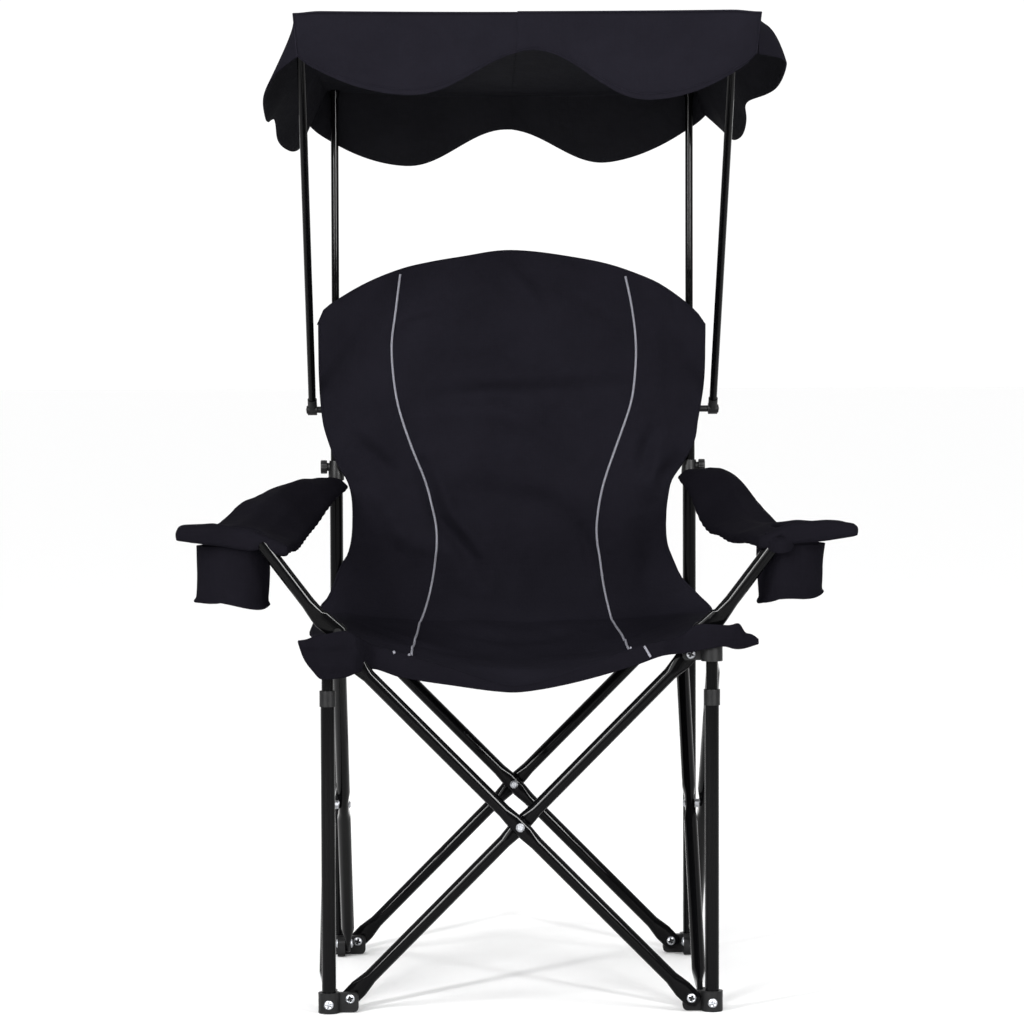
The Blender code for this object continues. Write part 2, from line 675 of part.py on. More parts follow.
def thumb_mesh():
    """A thumb screw along Z: a notched head, from its outer face down to its shank's end."""
    outer = TUBE_RADIUS + CLEAR + CLAMP_WALL
    start = INNER_RADIUS + CLEAR + CLAMP_WALL / 2 + CLEAR + CLEAR
    seat = outer + CLAMP_BOSS_LENGTH + CLEAR
    bm = bmesh.new()
    steps = THUMB_LOBES * 2
    rims = []
    for height in (seat, seat + THUMB_THICK):
        rim = []
        for step in range(steps):
            angle = 2 * math.pi * step / steps
            radius = THUMB_RADIUS - THUMB_NOTCH * (step % 2)
            point = (radius * math.cos(angle), radius * math.sin(angle), height)
            rim.append(bm.verts.new(point))
        rims.append(rim)
    for index in range(steps):
        after = (index + 1) % steps
        bm.faces.new((rims[0][index], rims[0][after], rims[1][after], rims[1][index]))
    bm.faces.new(rims[0])
    bm.faces.new(rims[1])
    head = temporary(bm)
    shank = rod_profile(THUMB_SHANK_RADIUS, start, seat + THUMB_THICK / 2)
    stem = temporary(turned(shank, SMALL_SIDES))
    return mesh_of(joined("thumb_screw", head, [stem]))


def build_rear_posts():
    """The uprights, the upper tubes that telescope in them, their clamps and thumb screws."""
    upright = tube_mesh("upright", TUBE_RADIUS, TUBE_WALL, SOCKET_FLOOR + CLEAR, UPRIGHT_TOP)
    upper = tube_mesh("upper_tube", INNER_RADIUS, INNER_WALL, UPPER_TUBE_LOW, UPPER_TUBE_TOP)
    thumb = thumb_mesh()
    for side, sign in (("left", -1), ("right", 1)):
        where = Matrix.Translation((sign * HALF_SPACING, HALF_SPACING, 0))
        place(f"upright_{side}", upright, steel(), where)
        place(f"upper_tube_{side}", upper, steel(), where)
        place(f"clamp_collar_{side}", clamp_mesh(sign), plastic(), where)
        spot = Matrix.Translation((0, 0, UPRIGHT_TOP + CLAMP_ABOVE / 2))
        turn = Matrix.Rotation(sign * QUARTER, 4, "Y")
        place(f"thumb_screw_{side}", thumb, plastic(), where @ spot @ turn)


def arm_post_mesh(sign):
    """A bent arm post from its hinge on the hub: a pressed lower end, a bend and a leaning stem."""
    stem = Vector((ARM_TOP_RUN - ARM_BEND_RUN, 0, ARM_TOP_RISE - ARM_BEND_RISE))
    start_angle = ARM_END_ANGLE
    stem_angle = math.atan2(stem.z, stem.x)
    stations = [
        (-END_RADIUS * reach, FLAT_THICK, width, start_angle) for reach, width in TIP_SHARES
    ]
    bend = math.hypot(ARM_BEND_RUN, ARM_BEND_RISE)
    stations.append((ARM_FLAT_LENGTH, FLAT_THICK, 1, start_angle))
    stations.append((bend, (TUBE_RADIUS * 2 + FLAT_THICK) / 2, 1, (start_angle + stem_angle) / 2))
    stations.append((bend + FLAT_TAPER, TUBE_RADIUS * 2, 1, stem_angle))
    stations.append((bend + stem.length, TUBE_RADIUS * 2, 1, stem_angle))
    knee = Vector((ARM_BEND_RUN, 0, ARM_BEND_RISE))
    sections = []
    for along, thick, width, angle in stations:
        if along <= bend:
            centre = knee * (along / bend)
        else:
            centre = knee + stem.normalized() * (along - bend)
        turn = Matrix.Rotation(-angle, 3, "Y")
        points = [(x, y, z * width) for x, y, z in tube_section(0, thick, TUBE_SIDES)]
        sections.append([centre + turn @ Vector(point) for point in points])
    if sign < 0:
        sections = [[Vector((-p.x, p.y, p.z)) for p in section] for section in sections]
    base = temporary(loft(sections))
    return mesh_of(joined("arm_post", base, [pin_hole(0)], "DIFFERENCE"))


def build_arm_posts():
    """The arm posts lean outwards from the front hubs, in front of their lugs."""
    depth = -HALF_SPACING + EAR_OFFSET - CROSS_OFFSET
    for side, sign in (("left", -1), ("right", 1)):
        spot = (sign * (HALF_SPACING - ARM_PIVOT_IN), depth, ARM_PIVOT_Z)
        place(f"arm_post_{side}", arm_post_mesh(sign), steel(), Matrix.Translation(spot))


def bracket_mesh(sign):
    """A canopy bracket: a ring on the upper tube, a side stub and the pole's hinge pin."""
    half = BRACKET_HEIGHT / 2
    eye_in = POLE_SPREAD - HALF_SPACING - EYE_WIDTH / 2 - CLEAR
    eye_out = POLE_SPREAD - HALF_SPACING + EYE_WIDTH / 2 + CLEAR
    body = temporary(turned(rod_profile(BRACKET_RADIUS, -half, half), ROUND_SIDES))
    stub = [
        (0, 0), (STUB_RADIUS, 0), (STUB_RADIUS, eye_in), (PIN_RADIUS, eye_in),
        (PIN_RADIUS, eye_out), (HEAD_RADIUS, eye_out), (HEAD_RADIUS, eye_out + HEAD_THICK / 2),
        (0, eye_out + HEAD_THICK),
    ]
    arm = temporary(turned(stub, SMALL_SIDES), Matrix.Rotation(sign * QUARTER, 4, "Y"))
    joined("canopy_bracket", body, [arm])
    cut = bore(INNER_RADIUS + CLEAR, -half - OVERRUN, half + OVERRUN)
    return mesh_of(joined("canopy_bracket", body, [cut], "DIFFERENCE"))


def eye_mesh():
    """The end eye of a front pole: a barrel on the hinge pin and a socket along the pole, on Z."""
    half = EYE_WIDTH / 2
    turn = Matrix.Rotation(QUARTER, 4, "Y")
    body = temporary(turned(rod_profile(EYE_RADIUS, -half, half), ROUND_SIDES), turn)
    socket = rod_profile(EYE_SOCKET_RADIUS, 0, EYE_SOCKET_LENGTH)
    joined("pole_eye", body, [temporary(turned(socket, ROUND_SIDES))])
    hole = rod_profile(PIN_RADIUS + CLEAR, -half - OVERRUN, half + OVERRUN)
    seat = rod_profile(POLE_RADIUS + CLEAR, EYE_RADIUS, EYE_SOCKET_LENGTH + OVERRUN)
    cuts = [temporary(turned(hole, SMALL_SIDES), turn), temporary(turned(seat, ROUND_SIDES))]
    body = joined("pole_eye", body, cuts, "DIFFERENCE")
    return baked(body)


def baked(obj):
    """An object's mesh with the object's own turn applied to it."""
    obj.data.transform(obj.matrix_world)
    return mesh_of(obj)


def pole_tip(length):
    """Profile points of a capped pole's upper end, from the pole's radius to the axis."""
    return [
        (POLE_RADIUS, length - TIP_CAP_LENGTH), (TIP_CAP_RADIUS, length - TIP_CAP_LENGTH),
        (TIP_CAP_RADIUS, length - TIP_CAP_TOP), (TIP_CAP_RADIUS - TIP_CAP_TOP, length),
        (0, length),
    ]


def front_pole_mesh():
    """A front canopy pole along Z, with its tip cap, from the seat in its eye."""
    length = math.hypot(POLE_TIP_FORWARD, POLE_TIP_RISE)
    start = EYE_RADIUS + CLEAR
    inside = POLE_RADIUS - POLE_WALL
    end = length - TIP_CAP_LENGTH
    profile = [(0, end), (inside, end), (inside, start), (POLE_RADIUS, start)]
    return finished(turned(profile + pole_tip(length), TUBE_SIDES), "pole_front")


def rear_pole_mesh():
    """A rear canopy pole along Z from the upper tube's top: a plug, a flange and a capped pole."""
    plug = INNER_RADIUS - INNER_WALL - CLEAR
    behind = ROOF_OVERHANG_REAR - TIP_CAP_RADIUS + TIP_CAP_TOP
    top = ROOF_REAR_Z - CANOPY_CLOTH + ROOF_SLOPE * behind - CLEAR
    length = top - UPPER_TUBE_TOP
    profile = [
        (0, -POLE_PLUG_LENGTH), (plug, -POLE_PLUG_LENGTH), (plug, CLEAR), (INNER_RADIUS, CLEAR),
        (INNER_RADIUS, POLE_FLANGE), (POLE_RADIUS, POLE_FLANGE),
    ]
    return finished(turned(profile + pole_tip(length), TUBE_SIDES), "pole_rear")


def build_canopy_frame():
    """Brackets, eyes, front poles that lean forward, and rear poles on the upper tubes."""
    eye = eye_mesh()
    front = front_pole_mesh()
    rear = rear_pole_mesh()
    for side, sign in (("left", -1), ("right", 1)):
        ring = Matrix.Translation((sign * HALF_SPACING, HALF_SPACING, BRACKET_Z))
        place(f"canopy_bracket_{side}", bracket_mesh(sign), plastic(), ring)
        hinge = Matrix.Translation((sign * POLE_SPREAD, HALF_SPACING, BRACKET_Z))
        lean = Matrix.Rotation(POLE_LEAN, 4, "X")
        place(f"pole_eye_{side}", eye, plastic(), hinge @ lean)
        place(f"pole_front_{side}", front, steel(), hinge @ lean)
        top = Matrix.Translation((sign * HALF_SPACING, HALF_SPACING, UPPER_TUBE_TOP))
        place(f"pole_rear_{side}", rear, steel(), top)


def panel(name, surface, columns, rows, thickness, finish):
    """A cloth panel: a grid laid on surface(u, v), with u and v from 0 to 1, made solid."""
    bm = bmesh.new()
    bmesh.ops.create_grid(bm, x_segments=columns, y_segments=rows, size=1 / 2)
    for vert in bm.verts:
        vert.co = surface(vert.co.x + 1 / 2, vert.co.y + 1 / 2)
    mesh = bpy.data.meshes.new(name)
    bm.to_mesh(mesh)
    bm.free()
    obj = place(name, mesh, finish)
    wall = obj.modifiers.new("cloth_thickness", "SOLIDIFY")
    wall.thickness = thickness
    wall.offset = 0
    return obj


def mix(start, end, share):
    return start + (end - start) * share


def hanging(side, flat_share):
    """How far cloth hangs, from 1 on the centre line to 0 where it lies flat at its sides."""
    return max(0, 1 - (side / flat_share) ** 2)


def roof_height(across, along):
    """The roof's middle surface. across is 0 on the centre line, 1 at the edge; along 0 is rear."""
    edge = mix(ROOF_REAR_Z, ROOF_FRONT_Z, along)
    sag = ROOF_SAG * hanging(across, ROOF_FLAT_SHARE) * (1 - along * along / 2)
    return edge - CANOPY_CLOTH / 2 - sag


def roof_half_width(along):
    """Half the roof's width, wider at the front."""
    rear = HALF_SPACING + ROOF_SIDE_REAR
    return mix(rear, POLE_SPREAD + ROOF_SIDE_FRONT, along)


def scallop(share, low):
    """How far a valance hangs, from one peak to the next."""
    return SCALLOP_HIGH + (low - SCALLOP_HIGH) * math.sin(math.pi * share)


def build_roof(side, sign):
    """Half of the canopy's roof, from the seam on the centre line to the side edge."""
    def surface(u, v):
        across = u * (roof_half_width(v) - CLEAR) + CLEAR
        return (sign * across, mix(ROOF_REAR_Y, ROOF_FRONT_Y, v), roof_height(u, v))
    panel(f"canopy_roof_{side}", surface, 5, 5, CANOPY_CLOTH, cloth())


def build_cross_valances(side, sign):
    """Half of the front valance and half of the rear one."""
    gap = CANOPY_CLOTH / 2 + CLEAR

    def front(u, v):
        drop = v * scallop(u, SCALLOP_LOW)
        across = CLEAR + u * (roof_half_width(1) - CLEAR)
        lean = FRONT_VALANCE_LEAN * v * math.sin(math.pi * u)
        top = roof_height(u, 1) + CANOPY_CLOTH / 2
        return (sign * across, ROOF_FRONT_Y - gap - lean, top - drop)

    def rear(u, v):
        drop = v * scallop(u, SCALLOP_LOW)
        across = CLEAR + u * (roof_half_width(0) - CLEAR)
        lean = REAR_VALANCE_LEAN * v * math.sin(math.pi * u)
        top = roof_height(u, 0) + CANOPY_CLOTH / 2
        return (sign * across, ROOF_REAR_Y + gap + lean, top - drop)

    panel(f"valance_front_{side}", front, 7, 2, CANOPY_CLOTH, cloth())
    panel(f"valance_rear_{side}", rear, 7, 2, CANOPY_CLOTH, lining())


def build_side_valance(side, sign):
    """A side valance of two scallops, flaring outwards to its lower edge."""
    gap = CANOPY_CLOTH / 2 + CLEAR + CLEAR

    def surface(u, v):
        share = (2 * u) % 1 if u < 1 else 0
        drop = v * scallop(share, SIDE_SCALLOP_LOW)
        swell = math.sin(math.pi * share)
        out = roof_half_width(u) + gap + SIDE_VALANCE_FLARE * v * swell
        top = roof_height(1, u) + CANOPY_CLOTH / 2
        return (sign * out, mix(ROOF_REAR_Y, ROOF_FRONT_Y, u), top - drop)

    panel(f"valance_side_{side}", surface, 10, 2, CANOPY_CLOTH, cloth())


def build_canopy():
    """The canopy cloth, in a left and a right half that meet on the centre seam."""
    for side, sign in (("left", -1), ("right", 1)):
        build_roof(side, sign)
        build_cross_valances(side, sign)
        build_side_valance(side, sign)


def seat_half_width(share):
    """Half the seat's width, from a corner (0) to the middle of the side (1)."""
    corner_half = HALF_SPACING - EAR_OFFSET + EAR_THICK / 2
    return corner_half - SEAT_WAIST * math.sin(share * QUARTER)


def seat_height(side, share, edge_share):
    """The seat's middle surface: flat on the mouldings at its sides, hanging between them."""
    rest = HUB_TOP_Z + CLEAR + SEAT_CLOTH / 2
    depth = SEAT_SAG * mix(edge_share, 1, math.sin(share * QUARTER))
    return rest - depth * hanging(side, SEAT_FLAT_SHARE)


def build_seat():
    """The seat's front and rear halves, which meet on its middle line."""
    front_y = -HALF_SPACING + EAR_OFFSET + EAR_THICK / 2 + SEAT_CLOTH + CLEAR
    rear_y = BACK_Y - SEAT_CLOTH - CLEAR

    def front(u, v):
        side = 2 * u - 1
        lip = SEAT_FRONT_LIP * max(0, v - SEAT_FRONT_SHARE) / (1 - SEAT_FRONT_SHARE)
        height = seat_height(side, 1 - v, SEAT_FRONT_SHARE) - lip * hanging(side, SEAT_FLAT_SHARE)
        return (side * seat_half_width(1 - v), mix(-CLEAR, front_y, v), height)

    def rear(u, v):
        side = 2 * u - 1
        height = seat_height(side, 1 - v, 0)
        return (side * seat_half_width(1 - v), mix(CLEAR, rear_y, v), height)

    panel("seat_front", front, 12, 5, SEAT_CLOTH, cloth())
    panel("seat_rear", rear, 12, 5, SEAT_CLOTH, cloth())


def back_half_width(height):
    """Half the back's width: drawn in at the waist, full from the shoulders' start up."""
    if height < BACK_WAIST_Z:
        share = (height - BACK_BOTTOM_Z) / (BACK_WAIST_Z - BACK_BOTTOM_Z)
        return mix(BACK_HALF_BOTTOM, BACK_HALF_WAIST, math.sin(share * QUARTER))
    share = min(1, (height - BACK_WAIST_Z) / (BACK_FULL_Z - BACK_WAIST_Z))
    return mix(BACK_HALF_WAIST, BACK_HALF_TOP, (1 - math.cos(share * math.pi)) / 2)


def build_back():
    """The back: a hanging panel with an arched top and a sleeve round each upper tube."""
    def surface(u, v):
        side = 2 * u - 1
        arch = (1 - side * side) * (BACK_APEX_Z - BACK_SHOULDER_Z)
        height = mix(BACK_BOTTOM_Z, BACK_SHOULDER_Z + arch, v)
        half = back_half_width(min(height, BACK_FULL_Z))
        belly = BACK_BELLY * hanging(side, BACK_FLAT_SHARE) * math.sin(math.pi * v)
        return (side * half, BACK_Y + BACK_CLOTH / 2 - belly, height)

    body = panel("back", surface, 12, 14, BACK_CLOTH, cloth())
    sleeves = []
    high = UPPER_TUBE_TOP - POLE_FLANGE
    for sign in (-1, 1):
        outer = INNER_RADIUS + CLEAR + SLEEVE_WALL
        profile = ring_profile(INNER_RADIUS + CLEAR, outer, high - SLEEVE_LENGTH, high)
        where = Matrix.Translation((sign * HALF_SPACING, HALF_SPACING, 0))
        sleeves.append(temporary(turned(profile, TUBE_SIDES, closed=True), where))
    joined("back", body, sleeves)


def armrest_section(share, sign, drop=0.0, rise=0.0):
    """A section across the armrest, from its rear end (0) to its front edge (1)."""
    rear_y = HALF_SPACING - TUBE_RADIUS - CLAMP_WALL - ARMREST_REAR_CLEAR
    along = mix(rear_y, -ARMREST_FRONT_Y, share)
    spread = math.sin(share * QUARTER)
    inner = mix(HALF_SPACING - ARMREST_REAR_HALF, ARMREST_FRONT_IN, share)
    outer = mix(HALF_SPACING + ARMREST_REAR_HALF, ARMREST_FRONT_OUT, spread)
    low_in = mix(ARMREST_REAR_Z, ARMREST_FRONT_IN_Z, share)
    low_out = mix(ARMREST_REAR_Z, ARMREST_FRONT_OUT_Z, share)
    thick = mix(ARMREST_REAR_THICK, ARMREST_THICK, spread)
    lower = []
    upper = []
    for step in range(4):
        across = step / 3
        crown = ARMREST_CROWN * math.sin(math.pi * across)
        reach = mix(inner, outer, across)
        height = mix(low_in, low_out, across)
        lower.append(Vector((sign * reach, along, height - drop)))
        upper.append(Vector((sign * reach, along, height + thick + crown + rise)))
    return lower + upper[::-1]


def armrest_solid(sign, drop=0.0, rise=0.0):
    """The armrest as a solid, or the same with its faces moved down and up for a cutter."""
    bm = loft([armrest_section(step / 6, sign, drop, rise) for step in range(7)])
    bmesh.ops.triangulate(bm, faces=bm.faces)
    return temporary(bm)


def cup_pocket_mesh(sign):
    """A cup pocket round its own axis, its rim trimmed to the armrest's underside."""
    inside = CUP_RADIUS - CUP_WALL
    low = CUP_FLOOR_Z
    top = ARMREST_REAR_Z
    profile = [
        (0, low), (CUP_RADIUS, low), (CUP_RADIUS, top), (inside, top),
        (inside, low + CUP_WALL), (0, low + CUP_WALL),
    ]
    where = Matrix.Translation((sign * CUP_X, -CUP_Y, 0))
    body = temporary(turned(profile, CUP_SIDES), where)
    trim = armrest_solid(sign, CLEAR, ARMREST_REAR_Z)
    return mesh_of(joined("cup_pocket", body, [trim], "DIFFERENCE"))


def cup_hole(sign, radius):
    """A cutter along Z for the opening above a cup pocket."""
    high = ARMREST_REAR_Z + ARMREST_THICK + ARMREST_CROWN
    bm = turned(rod_profile(radius, CUP_FLOOR_Z, high + OVERRUN), CUP_SIDES)
    return temporary(bm, Matrix.Translation((sign * CUP_X, -CUP_Y, 0)))


def arm_post_notch(sign):
    """A cutter for the pocket in an armrest's underside that the arm post's top fits."""
    depth = -HALF_SPACING + EAR_OFFSET - CROSS_OFFSET
    stem = Vector((ARM_TOP_RUN - ARM_BEND_RUN, 0, ARM_TOP_RISE - ARM_BEND_RISE))
    top = Vector((HALF_SPACING - ARM_PIVOT_IN + ARM_TOP_RUN, depth, ARM_PIVOT_Z + ARM_TOP_RISE))
    top.x *= sign
    turn = Vector((sign * stem.x, 0, stem.z)).to_track_quat("Z", "Y").to_matrix().to_4x4()
    gap = CLEAR + CLEAR
    bm = turned(rod_profile(TUBE_RADIUS + gap, -stem.length, gap), TUBE_SIDES)
    return temporary(bm, Matrix.Translation(top) @ turn)


def build_arms():
    """The cloth armrests, each with a hole over its cup pocket, and the pockets."""
    radius = CUP_RADIUS - CUP_WALL - CUP_RIM
    for side, sign in (("left", -1), ("right", 1)):
        body = armrest_solid(sign)
        tools = [cup_hole(sign, radius), arm_post_notch(sign)]
        mesh = mesh_of(joined("armrest", body, tools, "DIFFERENCE"))
        mesh.materials.clear()
        place(f"armrest_{side}", mesh, cloth())
        pocket = cup_pocket_mesh(sign)
        pocket.materials.clear()
        where = Matrix.Translation((sign * CUP_X, -CUP_Y, 0))
        place(f"cup_pocket_{side}", pocket, cloth(), where)


def main():
    clear_scene()
    build_corners()
    build_front_posts()
    build_rear_posts()
    build_cross_tubes()
    build_rivets()
    build_arm_posts()
    build_canopy_frame()
    build_canopy()
    build_seat()
    build_back()
    build_arms()


main()
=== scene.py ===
"""Canopy camping chair: cloth, trim, screws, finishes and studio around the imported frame."""
import json
import math

import bmesh
import bpy
from bpy.props import FloatProperty, FloatVectorProperty, PointerProperty
from mathutils import Matrix, Vector, noise


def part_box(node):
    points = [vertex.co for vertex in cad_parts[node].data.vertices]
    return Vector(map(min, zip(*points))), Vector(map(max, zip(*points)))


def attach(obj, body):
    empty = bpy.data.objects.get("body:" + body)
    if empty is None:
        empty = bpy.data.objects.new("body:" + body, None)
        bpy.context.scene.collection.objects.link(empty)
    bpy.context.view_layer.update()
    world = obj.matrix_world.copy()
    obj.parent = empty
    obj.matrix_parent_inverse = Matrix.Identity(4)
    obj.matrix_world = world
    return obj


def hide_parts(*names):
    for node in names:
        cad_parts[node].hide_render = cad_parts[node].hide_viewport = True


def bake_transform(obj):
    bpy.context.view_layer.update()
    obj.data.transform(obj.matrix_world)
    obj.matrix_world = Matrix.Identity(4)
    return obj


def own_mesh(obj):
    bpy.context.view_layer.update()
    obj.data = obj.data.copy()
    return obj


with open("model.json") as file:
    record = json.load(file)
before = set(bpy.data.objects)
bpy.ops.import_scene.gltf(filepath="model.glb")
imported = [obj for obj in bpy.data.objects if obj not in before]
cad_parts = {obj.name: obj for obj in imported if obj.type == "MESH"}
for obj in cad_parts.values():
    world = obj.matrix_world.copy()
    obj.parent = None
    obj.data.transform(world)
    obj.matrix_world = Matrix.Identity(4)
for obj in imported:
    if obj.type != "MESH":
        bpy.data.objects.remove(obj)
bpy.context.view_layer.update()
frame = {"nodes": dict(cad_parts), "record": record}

bl_info = {
    "name": "Canopy camping chair",
    "version": (1, 0, 0),
    "blender": (4, 5, 0),
    "location": "View3D > Sidebar > Camp Chair",
    "description": "Dresses the packed frame of a folding canopy chair in cloth and finishes",
    "category": "Object",
}

# Places taken from the frame: how far a post's axis is from the middle, both ways, the height
# of the seat where it rests on the corner mouldings, and the rear face of the back
TUBE_RADIUS = 0.0095
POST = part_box("upright_right")[1][0] - TUBE_RADIUS
SEAT_REST_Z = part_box("seat_front")[1][2]
PANEL_REAR_Y = POST - 0.0105

SIDES = (("left", -1), ("right", 1))
FULL_TURN = 2 * math.pi
SAME_PLACE = 1e-5


def linear(code):
    """An sRGB hex colour as linear RGB."""
    channels = [int(code[start:start + 2], 16) / 255 for start in (1, 3, 5)]
    return [
        value / 12.92 if value <= 0.04045 else ((value + 0.055) / 1.055) ** 2.4
        for value in channels
    ]


def colour(name, code, description):
    """A colour property with its default."""
    return FloatVectorProperty(
        name=name, description=description, subtype="COLOR", size=3, min=0, max=1,
        default=linear(code),
    )


def length(name, default, description):
    """A length property with its default."""
    return FloatProperty(
        name=name, description=description, default=default, min=0, unit="LENGTH", precision=4
    )


class ClothSettings(bpy.types.PropertyGroup):
    """Sizes and colours of the cloth."""

    shade: colour("Cloth", "#18171D", "Face of the woven polyester")
    lining: colour("Underside", "#17171A", "Coated back of the canopy cloth")
    # Painted shade: the armrests, pockets and front hem are the same woven polyester, painted
    # darker to stand in for shade
    painted_shade_cloth: colour("Armrest cloth", "#121116", "Face of the armrests, pockets and front hem")
    piping: colour("Reflective piping", "#8E8E97", "Grey reflective cord in the seams")
    thread_pitch: length("Thread pitch", 0.0024, "Distance between drawn threads")
    thickness: length("Cloth thickness", 0.0022, "Thickness of one layer of cloth")
    piping_width: length("Piping width", 0.0034, "Diameter of the reflective piping")
    fold_sharpness: FloatProperty(
        name="Fold sharpness", description="How sharp the sewn folds of the canopy are",
        default=0.85, min=0, max=1,
    )
    notch_drop: length("Scallop peak depth", 0.050, "Depth of the valances where scallops meet")


class FrameSettings(bpy.types.PropertyGroup):
    """Finishes of the frame."""

    coating: colour("Powder coat", "#070708", "Gloss black powder coat on the tubes")
    nylon: colour("Nylon", "#151516", "Moulded feet, hubs and collars")
    zinc: colour("Zinc plating", "#A9ABAF", "Screws and rivets")
    screw_radius: length("Screw head radius", 0.0064, "Radius of the dome over each pivot pin")
    screw_height: length("Screw head height", 0.0031, "Height of the dome over each pivot pin")


class StudioSettings(bpy.types.PropertyGroup):
    """Camera and backdrop."""

    lens: FloatProperty(
        name="Lens", description="Focal length", default=147.1, min=1, unit="CAMERA"
    )
    paper: colour("Paper", "#F7F7F7", "Seamless white paper floor")


def add_node(tree, kind, settings=None, links=None):
    """Adds a shader node with its settings and the sockets that feed it."""
    node = tree.nodes.new(kind)
    for key, value in (settings or {}).items():
        if isinstance(key, int) or key in node.inputs:
            node.inputs[key].default_value = value
        else:
            setattr(node, key, value)
    for key, source in (links or {}).items():
        tree.links.new(source, node.inputs[key])
    return node


def new_material(name, base, roughness, metallic=0.0):
    """A material with a Principled shader, its tree and its shader."""
    made = bpy.data.materials.new(name)
    made.use_nodes = True
    shader = made.node_tree.nodes["Principled BSDF"]
    shader.inputs["Base Color"].default_value = (*base, 1)
    shader.inputs["Roughness"].default_value = roughness
    shader.inputs["Metallic"].default_value = metallic
    return made, made.node_tree, shader


WAVE_PERIOD = FULL_TURN / 20  # of Blender's wave texture at a scale of 1


def woven_cloth(name, base, pitch, roughness, use_uv=True):
    """Plain-woven polyester: crossed threads that scatter light softly, and faint rubbed patches.

    A real 600 denier thread is 0.5 mm wide, too fine to show, so it is drawn at the pitch given.
    A wave is two threads wide, one over and one under.
    """
    made, tree, shader = new_material(name, base, roughness)
    where = add_node(tree, "ShaderNodeTexCoord")
    spot = where.outputs["UV" if use_uv else "Object"]
    threads = None
    for way in ("X", "Y") if use_uv else ("X", "Y", "Z"):
        band = add_node(
            tree, "ShaderNodeTexWave",
            {"wave_type": "BANDS", "bands_direction": way, "Scale": WAVE_PERIOD / (2 * pitch),
             "Distortion": 0.6, "Detail": 1.0, "Detail Scale": 2.0},
            {"Vector": spot},
        )
        if threads is None:
            threads = band.outputs["Fac"]
        else:
            threads = add_node(
                tree, "ShaderNodeMath", {"operation": "ADD"}, {0: threads, 1: band.outputs["Fac"]}
            ).outputs["Value"]
    rubbed = add_node(
        tree, "ShaderNodeTexNoise", {"Scale": 9.0, "Detail": 5.0, "Roughness": 0.6},
        {"Vector": where.outputs["Object"]},
    )
    worn = add_node(
        tree, "ShaderNodeMath", {"operation": "MULTIPLY_ADD", 1: 0.70, 2: 0.55},
        {0: rubbed.outputs["Fac"]},
    )
    shade = add_node(
        tree, "ShaderNodeMath", {"operation": "MULTIPLY_ADD", 1: 0.03, 2: 0.1}, {0: threads}
    )
    depth = add_node(
        tree, "ShaderNodeMath", {"operation": "ADD"},
        {0: worn.outputs["Value"], 1: shade.outputs["Value"]},
    )
    tint = add_node(
        tree, "ShaderNodeVectorMath", {"operation": "SCALE", 0: base},
        {"Scale": depth.outputs["Value"]},
    )
    tree.links.new(tint.outputs["Vector"], shader.inputs["Base Color"])
    fine = add_node(
        tree, "ShaderNodeBump", {"Strength": 0.05, "Distance": 0.0004}, {"Height": threads}
    )
    slack = add_node(
        tree, "ShaderNodeTexNoise", {"Scale": 24.0, "Detail": 4.0, "Roughness": 0.55},
        {"Vector": where.outputs["Object"]},
    )
    rumple = add_node(
        tree, "ShaderNodeBump", {"Strength": 0.6, "Distance": 0.005},
        {"Height": slack.outputs["Fac"], "Normal": fine.outputs["Normal"]},
    )
    tree.links.new(rumple.outputs["Normal"], shader.inputs["Normal"])
    shader.inputs["Specular IOR Level"].default_value = 0.005
    return made


def powder_coat(base):
    """Gloss powder coat: a smooth black skin with a faint orange peel of about 1.5 mm."""
    made, tree, shader = new_material("gloss_powder_coat", base, 0.2)
    where = add_node(tree, "ShaderNodeTexCoord")
    peel = add_node(
        tree, "ShaderNodeTexNoise", {"Scale": 650.0, "Detail": 2.0},
        {"Vector": where.outputs["Object"]},
    )
    bump = add_node(
        tree, "ShaderNodeBump", {"Strength": 0.03, "Distance": 0.0005},
        {"Height": peel.outputs["Fac"]},
    )
    scuffs = add_node(
        tree, "ShaderNodeTexNoise", {"Scale": 40.0, "Detail": 6.0, "Roughness": 0.7},
        {"Vector": where.outputs["Object"]},
    )
    gloss = add_node(
        tree, "ShaderNodeMapRange",
        {"From Min": 0.35, "From Max": 0.75, "To Min": 0.05, "To Max": 0.11},
        {"Value": scuffs.outputs["Fac"]},
    )
    tree.links.new(bump.outputs["Normal"], shader.inputs["Normal"])
    tree.links.new(gloss.outputs["Result"], shader.inputs["Roughness"])
    shader.inputs["Specular IOR Level"].default_value = 0.08
    return made


def moulded_nylon(base):
    """Injection-moulded nylon: satin, with a fine spark-eroded grain of about 1 mm."""
    made, tree, shader = new_material("moulded_nylon", base, 0.45)
    where = add_node(tree, "ShaderNodeTexCoord")
    grain = add_node(
        tree, "ShaderNodeTexNoise", {"Scale": 900.0, "Detail": 3.0},
        {"Vector": where.outputs["Object"]},
    )
    bump = add_node(
        tree, "ShaderNodeBump", {"Strength": 0.2, "Distance": 0.0003},
        {"Height": grain.outputs["Fac"]},
    )
    patches = add_node(
        tree, "ShaderNodeTexNoise", {"Scale": 60.0, "Detail": 4.0},
        {"Vector": where.outputs["Object"]},
    )
    satin = add_node(
        tree, "ShaderNodeMapRange",
        {"From Min": 0.3, "From Max": 0.7, "To Min": 0.36, "To Max": 0.52},
        {"Value": patches.outputs["Fac"]},
    )
    tree.links.new(bump.outputs["Normal"], shader.inputs["Normal"])
    tree.links.new(satin.outputs["Result"], shader.inputs["Roughness"])
    shader.inputs["Specular IOR Level"].default_value = 0.15
    return made


